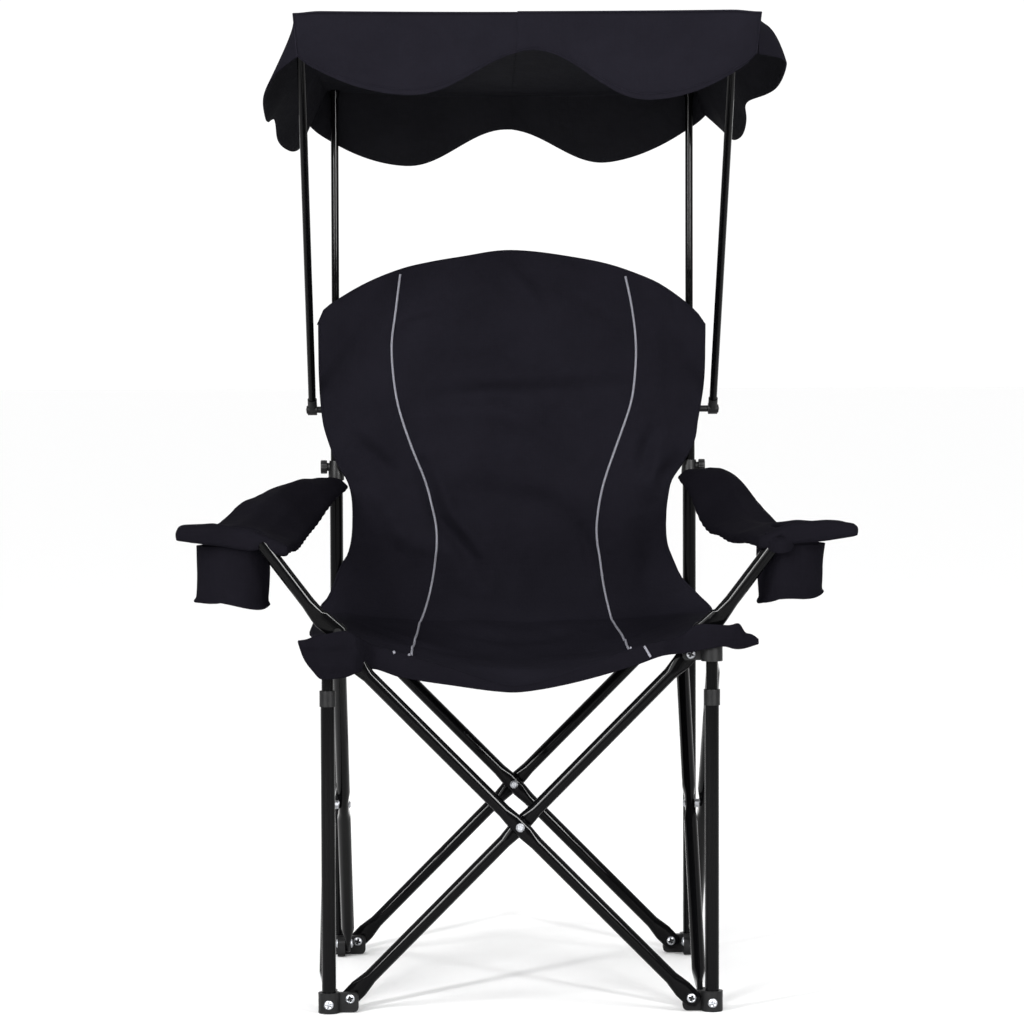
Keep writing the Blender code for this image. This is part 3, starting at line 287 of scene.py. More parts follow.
def zinc_plate(base):
    """Bright zinc on a pressed screw head: metallic, with dull spots."""
    made, tree, shader = new_material("zinc_plated_steel", base, 0.3, 1.0)
    where = add_node(tree, "ShaderNodeTexCoord")
    spots = add_node(
        tree, "ShaderNodeTexNoise", {"Scale": 700.0, "Detail": 4.0},
        {"Vector": where.outputs["Object"]},
    )
    dull = add_node(
        tree, "ShaderNodeMapRange",
        {"From Min": 0.3, "From Max": 0.7, "To Min": 0.28, "To Max": 0.5},
        {"Value": spots.outputs["Fac"]},
    )
    tree.links.new(dull.outputs["Result"], shader.inputs["Roughness"])
    return made


def reflective_cord(base):
    """Reflective piping: a glass-beaded tape round a cord, grey, each bead with a painted glint at
    its centre.
    """
    made, tree, shader = new_material("reflective_piping", base, 0.6)
    where = add_node(tree, "ShaderNodeTexCoord")
    beads = add_node(
        tree, "ShaderNodeTexVoronoi", {"Scale": 900.0}, {"Vector": where.outputs["Object"]}
    )
    # Painted glint: each bead is painted lighter at its centre and darker towards its edge
    bead_glint = add_node(
        tree, "ShaderNodeMapRange", {"From Max": 0.6, "To Min": 1.1, "To Max": 0.75},
        {"Value": beads.outputs["Distance"]},
    )
    tint = add_node(
        tree, "ShaderNodeVectorMath", {"operation": "SCALE", 0: base},
        {"Scale": bead_glint.outputs["Result"]},
    )
    tree.links.new(tint.outputs["Vector"], shader.inputs["Base Color"])
    shader.inputs["Specular IOR Level"].default_value = 0.05
    return made


def seamless_paper(base):
    """Seamless studio paper: matt white with a faint tooth of about 3 mm."""
    made, tree, shader = new_material("seamless_paper", base, 0.9)
    where = add_node(tree, "ShaderNodeTexCoord")
    tooth = add_node(
        tree, "ShaderNodeTexNoise", {"Scale": 300.0}, {"Vector": where.outputs["Object"]}
    )
    bump = add_node(
        tree, "ShaderNodeBump", {"Strength": 0.03, "Distance": 0.0005},
        {"Height": tooth.outputs["Fac"]},
    )
    tree.links.new(bump.outputs["Normal"], shader.inputs["Normal"])
    return made


THREAD_GLEAM = 1.35  # how much brighter the twisted sewing thread is than the cloth


def material(name):
    """A finish of the chair, made the first time that it is asked for."""
    if name in bpy.data.materials:
        return bpy.data.materials[name]
    scene = bpy.context.scene
    cloth, parts = scene.camp_cloth, scene.camp_frame
    shade, pitch = list(cloth.shade), cloth.thread_pitch
    thread = [value * THREAD_GLEAM for value in shade]
    makers = {
        "woven_polyester": lambda: woven_cloth(name, shade, pitch, 0.85),
        "woven_polyester_laid": lambda: woven_cloth(name, shade, pitch, 0.85, False),
        # Painted shade: the same woven polyester painted darker, for the armrests, pockets and
        # front hem
        "polyester_painted_shade": lambda: woven_cloth(name, list(cloth.painted_shade_cloth), pitch, 0.85, False),
        "sewing_thread": lambda: woven_cloth(name, thread, pitch, 0.8, False),
        "coated_underside": lambda: woven_cloth(name, list(cloth.lining), pitch, 0.7),
        "gloss_powder_coat": lambda: powder_coat(list(parts.coating)),
        "moulded_nylon": lambda: moulded_nylon(list(parts.nylon)),
        "zinc_plated_steel": lambda: zinc_plate(list(parts.zinc)),
        "reflective_piping": lambda: reflective_cord(list(cloth.piping)),
        "seamless_paper": lambda: seamless_paper(list(scene.camp_studio.paper)),
    }
    return makers[name]()


def interpolate(stations, at):
    """A smooth value between stations, each a (place, value) pair in rising places."""
    if at <= stations[0][0]:
        return stations[0][1]
    last = len(stations) - 1
    for index in range(last):
        (start, low), (end, high) = stations[index], stations[index + 1]
        if at > end:
            continue
        span = end - start
        slope = (high - low) / span
        before, after = stations[max(0, index - 1)], stations[min(last, index + 2)]
        rise_in = (high - before[1]) / (end - before[0])
        rise_out = (after[1] - low) / (after[0] - start)
        if index == 0:
            rise_in = slope
        if index == last - 1:
            rise_out = slope
        share = (at - start) / span
        bend_in = share * (1 - share) ** 2 * span * (rise_in - slope)
        bend_out = share ** 2 * (1 - share) * span * (rise_out - slope)
        return low + (high - low) * share + bend_in - bend_out
    return stations[-1][1]


def mix(start, end, share):
    """A value that lies a share of the way from a start to an end."""
    return start + (end - start) * share


def clamp(value, low=0.0, high=1.0):
    """A value kept between two limits."""
    return max(low, min(high, value))


def smooth(share):
    """Eases a share between 0 and 1."""
    share = clamp(share)
    return share * share * (3 - 2 * share)


def ripple(point, scale, seed):
    """Even, repeatable cloth noise of about -1 to 1."""
    return noise.noise(Vector(point) * scale + Vector((seed, seed * 1.7, seed * 0.6)))


def link(name, data):
    """A new object in the scene."""
    made = bpy.data.objects.new(name, data)
    bpy.context.scene.collection.objects.link(made)
    return made


def show(name, bm, finishes, smooth_faces=True):
    """Makes a finished object from a bmesh, at the world's origin."""
    mesh = bpy.data.meshes.new(name)
    bm.to_mesh(mesh)
    bm.free()
    piece = link(name, mesh)
    for finish in finishes:
        mesh.materials.append(material(finish))
    if smooth_faces:
        mesh.shade_smooth()
    return piece


def sheet_grid(columns, rows, width, depth):
    """A flat unit sheet from 0 to 1 each way, with its UV map in metres."""
    bm = bmesh.new()
    bmesh.ops.create_grid(bm, x_segments=columns, y_segments=rows, size=0.5, calc_uvs=True)
    bmesh.ops.translate(bm, verts=bm.verts, vec=(0.5, 0.5, 0))
    layer = bm.loops.layers.uv.verify()
    for face in bm.faces:
        for loop in face.loops:
            loop[layer].uv = (loop.vert.co.x * width, loop.vert.co.y * depth)
    return bm


def drape(bm, surface):
    """Moves each vertex of a flat sheet to its place on a surface(u, v)."""
    for vert in bm.verts:
        vert.co = surface(vert.co.x, vert.co.y)
    bm.normal_update()


def cloth_modifiers(piece, thickness, lining=False):
    """Finishes a sheet with one subdivision and its thickness, which grows behind its face."""
    round_off = piece.modifiers.new("soft_curve", "SUBSURF")
    round_off.levels = 1
    round_off.render_levels = 1
    round_off.boundary_smooth = "PRESERVE_CORNERS"
    wall = piece.modifiers.new("cloth_thickness", "SOLIDIFY")
    wall.thickness = thickness
    wall.offset = -1.0
    if lining:
        wall.material_offset = 1
    even = piece.modifiers.new("even_shading", "WEIGHTED_NORMAL")
    even.keep_sharp = True


def draped_sheet(name, bm, surface, finish, thickness, outside):
    """A piece of cloth draped on a surface, with its face to the outside, an (axis, sign)."""
    drape(bm, surface)
    bmesh.ops.recalc_face_normals(bm, faces=bm.faces)
    piece = show(name, bm, [finish])
    axis, sign = outside
    if sign * sum(face.normal[axis] for face in piece.data.polygons) < 0:
        piece.data.flip_normals()
    cloth_modifiers(piece, thickness)
    return piece


def cord_along(name, points, radius, finish):
    """A thin cord through points, swept as a curve and turned to a mesh."""
    curve = bpy.data.curves.new(name, "CURVE")
    curve.dimensions = "3D"
    curve.bevel_depth = radius
    curve.bevel_resolution = 2
    curve.use_fill_caps = True
    spline = curve.splines.new("POLY")
    spline.points.add(len(points) - 1)
    for held, point in zip(spline.points, points):
        held.co = (*point, 1)
    drawn = link(name, curve)
    graph = bpy.context.evaluated_depsgraph_get()
    mesh = bpy.data.meshes.new_from_object(drawn.evaluated_get(graph))
    bpy.data.objects.remove(drawn)
    mesh.name = name
    piece = link(name, mesh)
    mesh.materials.clear()
    mesh.materials.append(material(finish))
    mesh.shade_smooth()
    return piece


def piping(name, points):
    """Reflective piping through points, as thick as the setting says."""
    radius = bpy.context.scene.camp_cloth.piping_width / 2
    return cord_along(name, points, radius, "reflective_piping")


def gather(piece, body):
    """Attaches a piece of the back or seat to a body of the frame, with a mesh of its own."""
    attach(piece, body)
    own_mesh(piece)


def spun(bm, profile, steps):
    """Spins a profile of (radius, height) pairs round the Z axis into a closed turn."""
    verts = [bm.verts.new((radius, 0, height)) for radius, height in profile]
    edges = [bm.edges.new(pair) for pair in zip(verts, verts[1:])]
    bmesh.ops.spin(bm, geom=verts + edges, axis=(0, 0, 1), angle=FULL_TURN, steps=steps,
                   use_merge=True)


# Canopy: one half is a roof with three hanging edges, drawn flat and then draped.
# In the flat sheet u runs from the seam (0) to the side (1), v from the rear (0) to the front (1).

# The roof's corners: half its width, their y and their height
ROOF_REAR = (0.2670, 0.2645, 1.2565)
ROOF_FRONT = {"left": (0.2985, -0.2175, 1.3335), "right": (0.3250, -0.2175, 1.3345)}
REAR_SAG, FRONT_SAG, MIDDLE_SAG = 0.010, 0.002, 0.010
CORNER_TUCK = 0.003
ROOF_CREASE = 0.0016

# The front and rear valance of each side: where they end, how deep their scallops hang, and
# where across the canopy their middle peaks are
VALANCE_ENDS = {"left": (-0.2933, -0.295), "right": (0.3185, 0.2850)}
VALANCE_LOWS = {"left": (0.106, 0.106), "right": (0.115, 0.109)}
VALANCE_PEAKS = (0.021, -0.008)
VALANCE_FOLD = 0.004
VALANCE_WAVE = 0.003
STITCH_LINE = 1.93

# The side valances: share of the way from rear to front, how far they hang and stand out
EDGE_BLUR = 0.03
SIDE_EDGES = {
    "left": [
        (0.00, 0.049, 0.028), (0.10, 0.090, 0.036), (0.18, 0.105, 0.042), (0.25, 0.109, 0.047),
        (0.33, 0.105, 0.053), (0.42, 0.094, 0.050), (0.50, 0.088, 0.050), (0.58, 0.101, 0.056),
        (0.64, 0.108, 0.057), (0.70, 0.100, 0.058), (0.76, 0.090, 0.057), (0.84, 0.080, 0.046),
        (0.92, 0.069, 0.028), (1.00, 0.0565, -0.0052),
    ],
    "right": [
        (0.00, 0.033, 0.0105), (0.06, 0.0585, 0.0275), (0.12, 0.076, 0.034),
        (0.22, 0.0947, 0.0395), (0.30, 0.094, 0.0443), (0.40, 0.0785, 0.0386),
        (0.50, 0.069, 0.0245), (0.62, 0.0687, 0.0454), (0.68, 0.065, 0.0514),
        (0.80, 0.049, 0.053), (0.90, 0.050, 0.040), (1.00, 0.055, -0.003),
    ],
}

# What the flat canopy measures: half the roof across, the roof from rear to front, a valance
FLAT_HALF, FLAT_ROOF, FLAT_VALANCE = 0.285, 0.49, 0.11


def roof_point(side, sign, u, v):
    """The roof's surface: tight between the poles, with a slack middle and light creases."""
    front = ROOF_FRONT[side]
    half = mix(ROOF_REAR[0], front[0], v)
    x = sign * half * u
    y = mix(ROOF_REAR[1], front[1], v)
    slack = math.sin(math.pi * v)
    sag = mix(REAR_SAG, FRONT_SAG, v) * (1 - u * u) + MIDDLE_SAG * slack * (1 - u ** 4)
    corner = CORNER_TUCK * smooth((u - 0.88) / 0.12)
    crease = ROOF_CREASE * ripple((x, y, 0), 9, 3) * slack * (1 - u * u)
    return Vector((x, y, mix(ROOF_REAR[2], front[2], v) - sag - corner + crease))


def scallop_share(share):
    """One scallop's depth, rounded at the middle peak (0) and sharp at the corner (1)."""
    if share < 0.5:
        return (1 - math.cos(2 * math.pi * share)) / 2
    return max(0.0, math.sin(math.pi * share)) ** 0.75


def cross_drop(x, peak_x, end_x, low, notch, end):
    """How far the front or rear valance hangs at a place across the canopy."""
    share = min(1, abs(x - peak_x) / abs(end_x - peak_x))
    return mix(notch, end, smooth(share)) + (low - notch) * scallop_share(share)


def side_edge(side, v, which):
    """The lower edge of a side valance, evened out: how far it hangs (1) or stands out (2)."""
    stations = [(row[0], row[which]) for row in SIDE_EDGES[side]]
    if not EDGE_BLUR < v < 1 - EDGE_BLUR:
        return interpolate(stations, v)
    return sum(interpolate(stations, v + step) for step in (-EDGE_BLUR, 0, EDGE_BLUR)) / 3


def canopy_point(side, sign, u, v):
    """A place on half of the canopy: the roof up to 1, and a valance from there to 2 or -1."""
    edge = roof_point(side, sign, min(1, u), clamp(v, 0, 1))
    if u > 1:
        hang = u - 1
        free = smooth(v / 0.15) * smooth((1 - v) / 0.12)
        lift = mix(0.15, -0.62 if side == "right" else -0.05, smooth((v - 0.5) / 0.25)) * free
        out = side_edge(side, v, 2) * hang ** (1 + lift)
        drop = side_edge(side, v, 1) * hang ** (1 - 0.4 * lift)
        wave = VALANCE_WAVE * math.sin(9 * v + 2 * sign) * hang * free
        return edge + Vector((sign * (out + wave), 0, -drop))
    if 0 <= v <= 1:
        return edge
    which, corner, hang = (0, -1, v - 1) if v > 1 else (1, 0, -v)
    end = VALANCE_ENDS[side][which]
    foot = sign * u * abs(end)
    notch = bpy.context.scene.camp_cloth.notch_drop
    drop = cross_drop(foot, VALANCE_PEAKS[which], end, VALANCE_LOWS[side][which], notch,
                      SIDE_EDGES[side][corner][1]) * hang
    tuck = smooth(u / 0.1) * smooth((1 - u) / 0.1)
    if v > 1:
        fold = VALANCE_FOLD * math.sin(math.pi * u) * hang * (1.3 - hang)
        wave = VALANCE_WAVE * ripple((edge.x, drop, 0), 13, 8) * hang * tuck
    else:
        fold = 0
        wave = VALANCE_WAVE * ripple((edge.x, drop, 1), 12, 5) * hang * tuck
    return Vector((mix(edge.x, foot, hang), edge.y - fold + wave, edge.z - drop))


def on_line(edge, axis, value):
    """Whether an edge of the flat canopy lies on a line across an axis."""
    return all(abs(vert.co[axis] - value) < SAME_PLACE for vert in edge.verts)


def on_roof(edge):
    """Whether an edge of the flat canopy belongs to its roof."""
    return all(-SAME_PLACE < place < 1 + SAME_PLACE for vert in edge.verts for place in vert.co.xy)


def hang_edge(bm, axis, value, rows):
    """Extrudes a border of the flat roof outwards in rows, for a valance."""
    edges = [edge for edge in bm.edges
             if edge.is_boundary and on_line(edge, axis, value) and on_roof(edge)]
    offset = Vector((0, 0, 0))
    offset[axis] = (1 if value else -1) / rows
    for _ in range(rows):
        grown = bmesh.ops.extrude_edge_only(bm, edges=edges)["geom"]
        verts = [item for item in grown if isinstance(item, bmesh.types.BMVert)]
        bmesh.ops.translate(bm, verts=verts, vec=offset)
        edges = [
            item for item in grown
            if isinstance(item, bmesh.types.BMEdge)
            and all(vert in verts for vert in item.verts)
        ]


def canopy_half(side, sign):
    """Half of the canopy in one sheet, from the middle to the side valance, with its seams."""
    cloth = bpy.context.scene.camp_cloth
    bm = bmesh.new()
    bmesh.ops.create_grid(bm, x_segments=24, y_segments=36, size=0.5)
    bmesh.ops.translate(bm, verts=bm.verts, vec=(0.5, 0.5, 0))
    borders = ((1, 1.0), (1, 0.0), (0, 1.0))
    for axis, value in borders:
        hang_edge(bm, axis, value, 9)
    layer = bm.loops.layers.uv.verify()
    for face in bm.faces:
        for loop in face.loops:
            u, v = loop.vert.co.x, loop.vert.co.y
            across = min(u, 1) * FLAT_HALF + max(0, u - 1) * FLAT_VALANCE
            ahead = clamp(v, 0, 1) * FLAT_ROOF + (max(0, v - 1) + min(0, v)) * FLAT_VALANCE
            loop[layer].uv = (across, ahead)
    crease = bm.edges.layers.float.new("crease_edge")
    for edge in bm.edges:
        if any(on_line(edge, axis, value) for axis, value in borders):
            edge[crease] = cloth.fold_sharpness
    drape(bm, lambda u, v: canopy_point(side, sign, u, v))
    bmesh.ops.remove_doubles(bm, verts=bm.verts, dist=0.0002)
    bmesh.ops.recalc_face_normals(bm, faces=bm.faces)
    roof = max(bm.faces, key=lambda face: face.calc_center_median().z)
    if roof.normal.z < 0:
        bmesh.ops.reverse_faces(bm, faces=bm.faces)
    piece = show(f"canopy_cloth_{side}", bm, ["woven_polyester", "coated_underside"])
    cloth_modifiers(piece, cloth.thickness, lining=True)
    tilt_with_poles(piece)
    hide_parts(f"canopy_roof_{side}", f"valance_front_{side}", f"valance_rear_{side}",
                f"valance_side_{side}")
    along = [step / 40 for step in range(41)]
    down = [step / 14 for step in range(15)]
    for name, route, radius in (
        ("edge_front", [(share, 1.0) for share in along], 0.0012),
        ("edge_rear", [(share, 0.0) for share in along], 0.0010),
        ("edge_side", [(1.0, share) for share in along], 0.0010),
        ("stitch_front", [(share, STITCH_LINE) for share in along], 0.0005),
        ("corner_front", [(1.0, 1 + share) for share in down], 0.0008),
        ("corner_rear", [(1.0, -share) for share in down], 0.0008),
    ):
        points = [canopy_point(side, sign, u, v) for u, v in route]
        if name == "stitch_front":
            points = [point - Vector((0, 0.0006, 0)) for point in points]
        seam = cord_along(f"canopy_{name}_{side}", points, radius, "sewing_thread")
        tilt_with_poles(seam)


def tilt_with_poles(piece):
    """Bakes a piece of the canopy's place into its mesh."""
    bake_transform(piece)


# Back: measured outlines, as (height, x) at the sides and for the piping, and (x, height) on top.

BACK_LEFT = [
    (0.500, -0.2840), (0.510, -0.2800), (0.522, -0.2690), (0.545, -0.2590), (0.565, -0.2510),
    (0.580, -0.2410), (0.600, -0.2350), (0.626, -0.2325), (0.665, -0.2335), (0.690, -0.2400),
    (0.715, -0.2550), (0.746, -0.2670), (0.775, -0.2750), (0.833, -0.2800), (0.900, -0.2810),
]
BACK_RIGHT = [
    (0.500, 0.2890), (0.508, 0.2850), (0.520, 0.2720), (0.532, 0.2600), (0.546, 0.2454),
    (0.570, 0.2335), (0.598, 0.2225), (0.640, 0.2214), (0.665, 0.2240), (0.690, 0.2300),
    (0.715, 0.2470), (0.746, 0.2630), (0.775, 0.2680), (0.833, 0.2770), (0.900, 0.2790),
]
BACK_TOP = [
    (-0.281, 0.918), (-0.274, 0.934), (-0.2597, 0.9464), (-0.211, 0.975), (-0.159, 0.9958),
    (-0.115, 1.006), (-0.0706, 1.0133), (-0.018, 1.0215), (0.024, 1.0206), (0.080, 1.0130),
    (0.1346, 1.0024), (0.178, 0.988), (0.216, 0.9704), (0.2626, 0.9347), (0.276, 0.915),
]
PIPING_LEFT = [
    (0.503, -0.1365), (0.517, -0.1350), (0.534, -0.1280), (0.555, -0.1190), (0.576, -0.112),
    (0.624, -0.111), (0.653, -0.118), (0.684, -0.125), (0.739, -0.147), (0.798, -0.166),
    (0.845, -0.173), (0.891, -0.175), (0.917, -0.171), (0.987, -0.162),
]
PIPING_RIGHT = [
    (0.503, 0.1425), (0.520, 0.1405), (0.534, 0.1385), (0.543, 0.134), (0.572, 0.126),
    (0.607, 0.120), (0.640, 0.1215), (0.684, 0.130), (0.739, 0.149), (0.802, 0.171),
    (0.845, 0.1765), (0.887, 0.178), (0.939, 0.172), (0.983, 0.163),
]

# Where the back turns forward, how low and how far forward its foot lies, the low end of its
# outlines, and where the seat's piping starts and ends
BACK_BEND_Z = 0.578
BACK_FOOT_Z = 0.503
BACK_FOOT_Y = 0.186
BACK_LOW_Z = 0.500
PIPING_REAR_Y = 0.187
PIPING_FRONT_Y = -0.2425

# Folds in the cloth, each with its path, its half width and its depth: the back's path is
# (x, height), the seat's is (x, y)
BACK_FOLDS = [
    ([(-0.134, 0.712), (-0.106, 0.634), (-0.070, 0.590), (-0.048, 0.560)], 0.011, 0.0128),
    ([(-0.229, 0.676), (-0.201, 0.638), (-0.172, 0.588)], 0.013, 0.0075),
    ([(-0.238, 0.762), (-0.209, 0.730), (-0.172, 0.700)], 0.011, 0.0083),
    ([(-0.100, 0.812), (0.000, 0.816), (0.165, 0.826)], 0.014, 0.0063),
    ([(-0.110, 0.786), (-0.030, 0.794), (0.035, 0.770), (0.070, 0.735)], 0.014, -0.0048),
    ([(-0.160, 0.911), (-0.130, 0.921), (-0.098, 0.925)], 0.008, 0.0051),
    ([(-0.006, 0.996), (0.018, 0.968), (0.036, 0.940)], 0.010, -0.0054),
    ([(0.045, 0.980), (0.110, 0.952), (0.166, 0.912)], 0.018, 0.0075),
    ([(0.216, 0.960), (0.233, 0.921), (0.255, 0.903)], 0.008, 0.0075),
    ([(0.226, 0.906), (0.229, 0.850), (0.226, 0.796)], 0.009, 0.0060),
    ([(-0.245, 0.930), (-0.243, 0.860), (-0.236, 0.790)], 0.009, 0.0057),
    ([(0.206, 0.768), (0.192, 0.735), (0.188, 0.705)], 0.010, 0.0090),
    ([(0.240, 0.745), (0.205, 0.705), (0.196, 0.672)], 0.010, -0.0075),
    ([(-0.054, 0.676), (0.050, 0.650), (0.118, 0.600)], 0.020, 0.0063),
    ([(-0.218, 0.600), (-0.130, 0.562), (-0.030, 0.540)], 0.018, 0.0060),
    ([(0.190, 0.640), (0.205, 0.590), (0.200, 0.545)], 0.024, 0.0120),
    ([(-0.090, 0.538), (-0.060, 0.528), (-0.020, 0.530)], 0.016, 0.0075),
    ([(0.100, 0.620), (0.108, 0.590), (0.112, 0.566)], 0.008, 0.0051),
]
SEAT_FOLDS = [
    ([(-0.205, -0.205), (-0.130, -0.130), (-0.060, -0.080)], 0.018, 0.0045),
    ([(0.210, -0.200), (0.140, -0.120), (0.080, -0.050)], 0.018, 0.0045),
    ([(-0.215, 0.100), (-0.140, 0.040), (-0.070, 0.010)], 0.016, 0.0038),
    ([(0.215, 0.120), (0.150, 0.060), (0.070, 0.030)], 0.016, 0.0038),
    ([(-0.230, -0.060), (-0.150, -0.050), (-0.080, -0.020)], 0.013, 0.0030),
    ([(-0.070, 0.150), (0.010, 0.130), (0.090, 0.160)], 0.020, 0.0040),
]

# The lower and upper edge of the seat's front hem, as (x, height)
HEM_LOW = [
    (-0.2947, 0.4950), (-0.2893, 0.4780), (-0.2827, 0.4673), (-0.2733, 0.4567),
    (-0.2667, 0.4485), (-0.2500, 0.4480), (-0.2290, 0.4510), (-0.2187, 0.4555),
    (-0.1960, 0.4595), (-0.1600, 0.4480), (-0.0930, 0.4370), (-0.0160, 0.4270),
    (0.0240, 0.4300), (0.0830, 0.4420), (0.1530, 0.4620), (0.1900, 0.4750),
    (0.2250, 0.4820), (0.2600, 0.4880), (0.2720, 0.4895), (0.2840, 0.4860),
    (0.2967, 0.4860), (0.3173, 0.4920),
]
HEM_TOP = [
    (-0.2947, 0.4990), (-0.2827, 0.5010), (-0.2720, 0.5060), (-0.2600, 0.5080),
    (-0.2500, 0.5095), (-0.2400, 0.5120), (-0.2260, 0.5110), (-0.2100, 0.5010),
    (-0.1930, 0.4900), (-0.1600, 0.4800), (-0.0930, 0.4600), (-0.0160, 0.4365),
    (0.0240, 0.4400), (0.0830, 0.4590), (0.1530, 0.4860), (0.1930, 0.4955), (0.2110, 0.5020),
    (0.2250, 0.5130), (0.2350, 0.5190), (0.2600, 0.5190), (0.2790, 0.5180),
    (0.2930, 0.5205), (0.2965, 0.5090), (0.3090, 0.5055), (0.3173, 0.4990),
]


def fold_depth(across, along, folds):
    """How deep the drawn folds are at a place: each is a valley with a ridge beside it."""
    depth = 0.0
    for points, width, deep in folds:
        best = None
        count = len(points) - 1
        for index, (start, end) in enumerate(zip(points, points[1:])):
            run = (end[0] - start[0], end[1] - start[1])
            span = math.hypot(*run)
            step = (across - start[0], along - start[1])
            share = clamp((step[0] * run[0] + step[1] * run[1]) / span ** 2)
            away = math.hypot(step[0] - run[0] * share, step[1] - run[1] * share)
            turn = 1 if run[0] * step[1] - run[1] * step[0] > 0 else -1
            if best is None or away < best[0]:
                best = (away, turn, (index + share) / count)
        away, turn, share = best
        if away > 4 * width:
            continue
        fade = math.sin(math.pi * (0.08 + 0.84 * share)) ** 0.7
        valley = math.exp(-(away / width) ** 2)
        ridge = math.exp(-((turn * away - 1.7 * width) / width) ** 2)
        depth += deep * fade * (valley - 0.6 * ridge)
    return depth


def back_depth(x, z):
    """The front face of the back: a slack sling that bellies forward, with pulled folds."""
    height = (z - 0.505) / 0.517
    side = min(1, abs(x) / 0.245)
    belly = 0.020 * (1 - side ** 2.4) * math.sin(math.pi * clamp(height) ** 0.8)
    creases = 0.0022 * ripple((x * 2.2, 0, z * 4.5), 2.6, 11) * (1 - side ** 4)
    creases += 0.0010 * ripple((x * 5, 0, z * 9), 3.1, 4) * (1 - side ** 4)
    pulls = 0.0012 * math.sin(44 * (z + 0.35 * abs(x))) * math.exp(-((z - 0.70) / 0.09) ** 2)
    pulls *= side ** 2 * (1 - side ** 8)
    folds = fold_depth(x, z, BACK_FOLDS) * (1 - side ** 10)
    return PANEL_REAR_Y - 0.0045 - belly - creases - pulls + folds


def foot_turn(z):
    """How far the back has turned forward at a height below its bend, up to a quarter turn."""
    return (BACK_BEND_Z - z) / (BACK_BEND_Z - BACK_FOOT_Z) * math.pi / 2


def back_surface(x, z):
    """A place on the back: upright above, and below its bend turned forward onto the seat."""
    y = back_depth(x, z)
    if z >= BACK_BEND_Z:
        return Vector((x, y, z))
    turn = foot_turn(z)
    half = seat_half_width(BACK_FOOT_Y)
    foot = seat_height(clamp(x / half, -1, 1), BACK_FOOT_Y) - 0.0012
    level = BACK_BEND_Z - (BACK_BEND_Z - foot) * math.sin(turn)
    return Vector((x, y - (y - BACK_FOOT_Y) * (1 - math.cos(turn)), level))


def back_point(u, v):
    """A place on the back's front face, from its left foot (0, 0) to its right top (1, 1)."""
    left_top, right_top = BACK_TOP[0], BACK_TOP[-1]
    shoulder = mix(left_top[1], right_top[1], u)
    x_top = mix(left_top[0], right_top[0], u)
    crown = interpolate(BACK_TOP, x_top)
    z = mix(BACK_FOOT_Z, crown, v)
    level = min(z, shoulder)
    if z < BACK_BEND_Z:
        level = BACK_BEND_Z - (BACK_BEND_Z - BACK_LOW_Z) * math.sin(foot_turn(z))
    x = mix(interpolate(BACK_LEFT, level), interpolate(BACK_RIGHT, level), u)
    if z > shoulder:
        x = mix(x, x_top, (z - shoulder) / max(1e-6, crown - shoulder))
    return back_surface(x, z)


def back_panel():
    """The back's panel, in one sheet with drawn folds and its foot laid on the seat."""
    piece = draped_sheet("back_sling", sheet_grid(84, 86, 0.55, 0.56), back_point,
                         "woven_polyester", 0.0034, (1, -1))
    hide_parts("back")
    return piece


def back_binding():
    """The tape bound round the back's two sides and top, a little in front of its edge."""
    steps, inset, out = 60, 0.004, 0.0016
    path = [(inset, step / steps) for step in range(steps)]
    path += [(step / steps, 1 - inset) for step in range(steps)]
    path += [(1 - inset, 1 - step / steps) for step in range(steps + 1)]
    points = [back_point(u, v) + Vector((0, out, 0)) for u, v in path]
    return cord_along("back_binding", points, 0.0024, "woven_polyester_laid")


def back_piping(side, stations):
    """The reflective piping down one side of the back, its measured line evened out."""
    steps, rounds = 80, 8
    heights = [mix(BACK_FOOT_Z, stations[-1][0], step / steps) for step in range(steps + 1)]
    line = [interpolate(stations, z) for z in heights]
    for _ in range(rounds):
        inner = [(before + here * 2 + after) / 4
                 for before, here, after in zip(line, line[1:], line[2:])]
        line = [line[0], *inner, line[-1]]
    points = [back_surface(x, z) + Vector((0, -0.0010, 0.0006)) for x, z in zip(line, heights)]
    return piping(f"back_piping_{side}", points)


def sleeve(side, sign):
    """The sleeve sewn behind the back that hangs on an upper tube, gathered in small rings."""
    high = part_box(f"upper_tube_{side}")[1][2] - 0.003
    bm = bmesh.new()
    spun(bm, [(0.0119 if step % 2 else 0.0125, high - 0.092 + 0.0115 * step)
              for step in range(9)], 28)
    bmesh.ops.remove_doubles(bm, verts=bm.verts, dist=SAME_PLACE)
    bmesh.ops.translate(bm, verts=bm.verts, vec=(sign * POST, POST, 0))
    bmesh.ops.recalc_face_normals(bm, faces=bm.faces)
    piece = show(f"back_sleeve_{side}", bm, ["woven_polyester_laid"])
    cloth_modifiers(piece, 0.003)
    return piece


# Seat: s runs across from -1 to 1, and a half reaches from the middle line to its far edge.

SEAT_FRONT_Y, SEAT_REAR_Y = -0.2440, 0.2375
SEAT_SAG = 0.050

# The piping's lines on the seat, as (y, x), and on the hem, as its two ends in (x, height)
SEAT_PIPING = {
    "left": [(-0.243, -0.1475), (-0.15, -0.1450), (0.0, -0.1445), (PIPING_REAR_Y, -0.1360)],
    "right": [(-0.243, 0.1485), (-0.17, 0.1515), (0.0, 0.1530), (0.0600, 0.1530),
              (0.1090, 0.1503), (PIPING_REAR_Y, 0.1425)],
}
HEM_PIPING = {
    "right": ((0.1665, 0.4880), (0.1745, 0.4740)),
    "left": ((-0.1680, 0.4830), (-0.1668, 0.4795)),
}


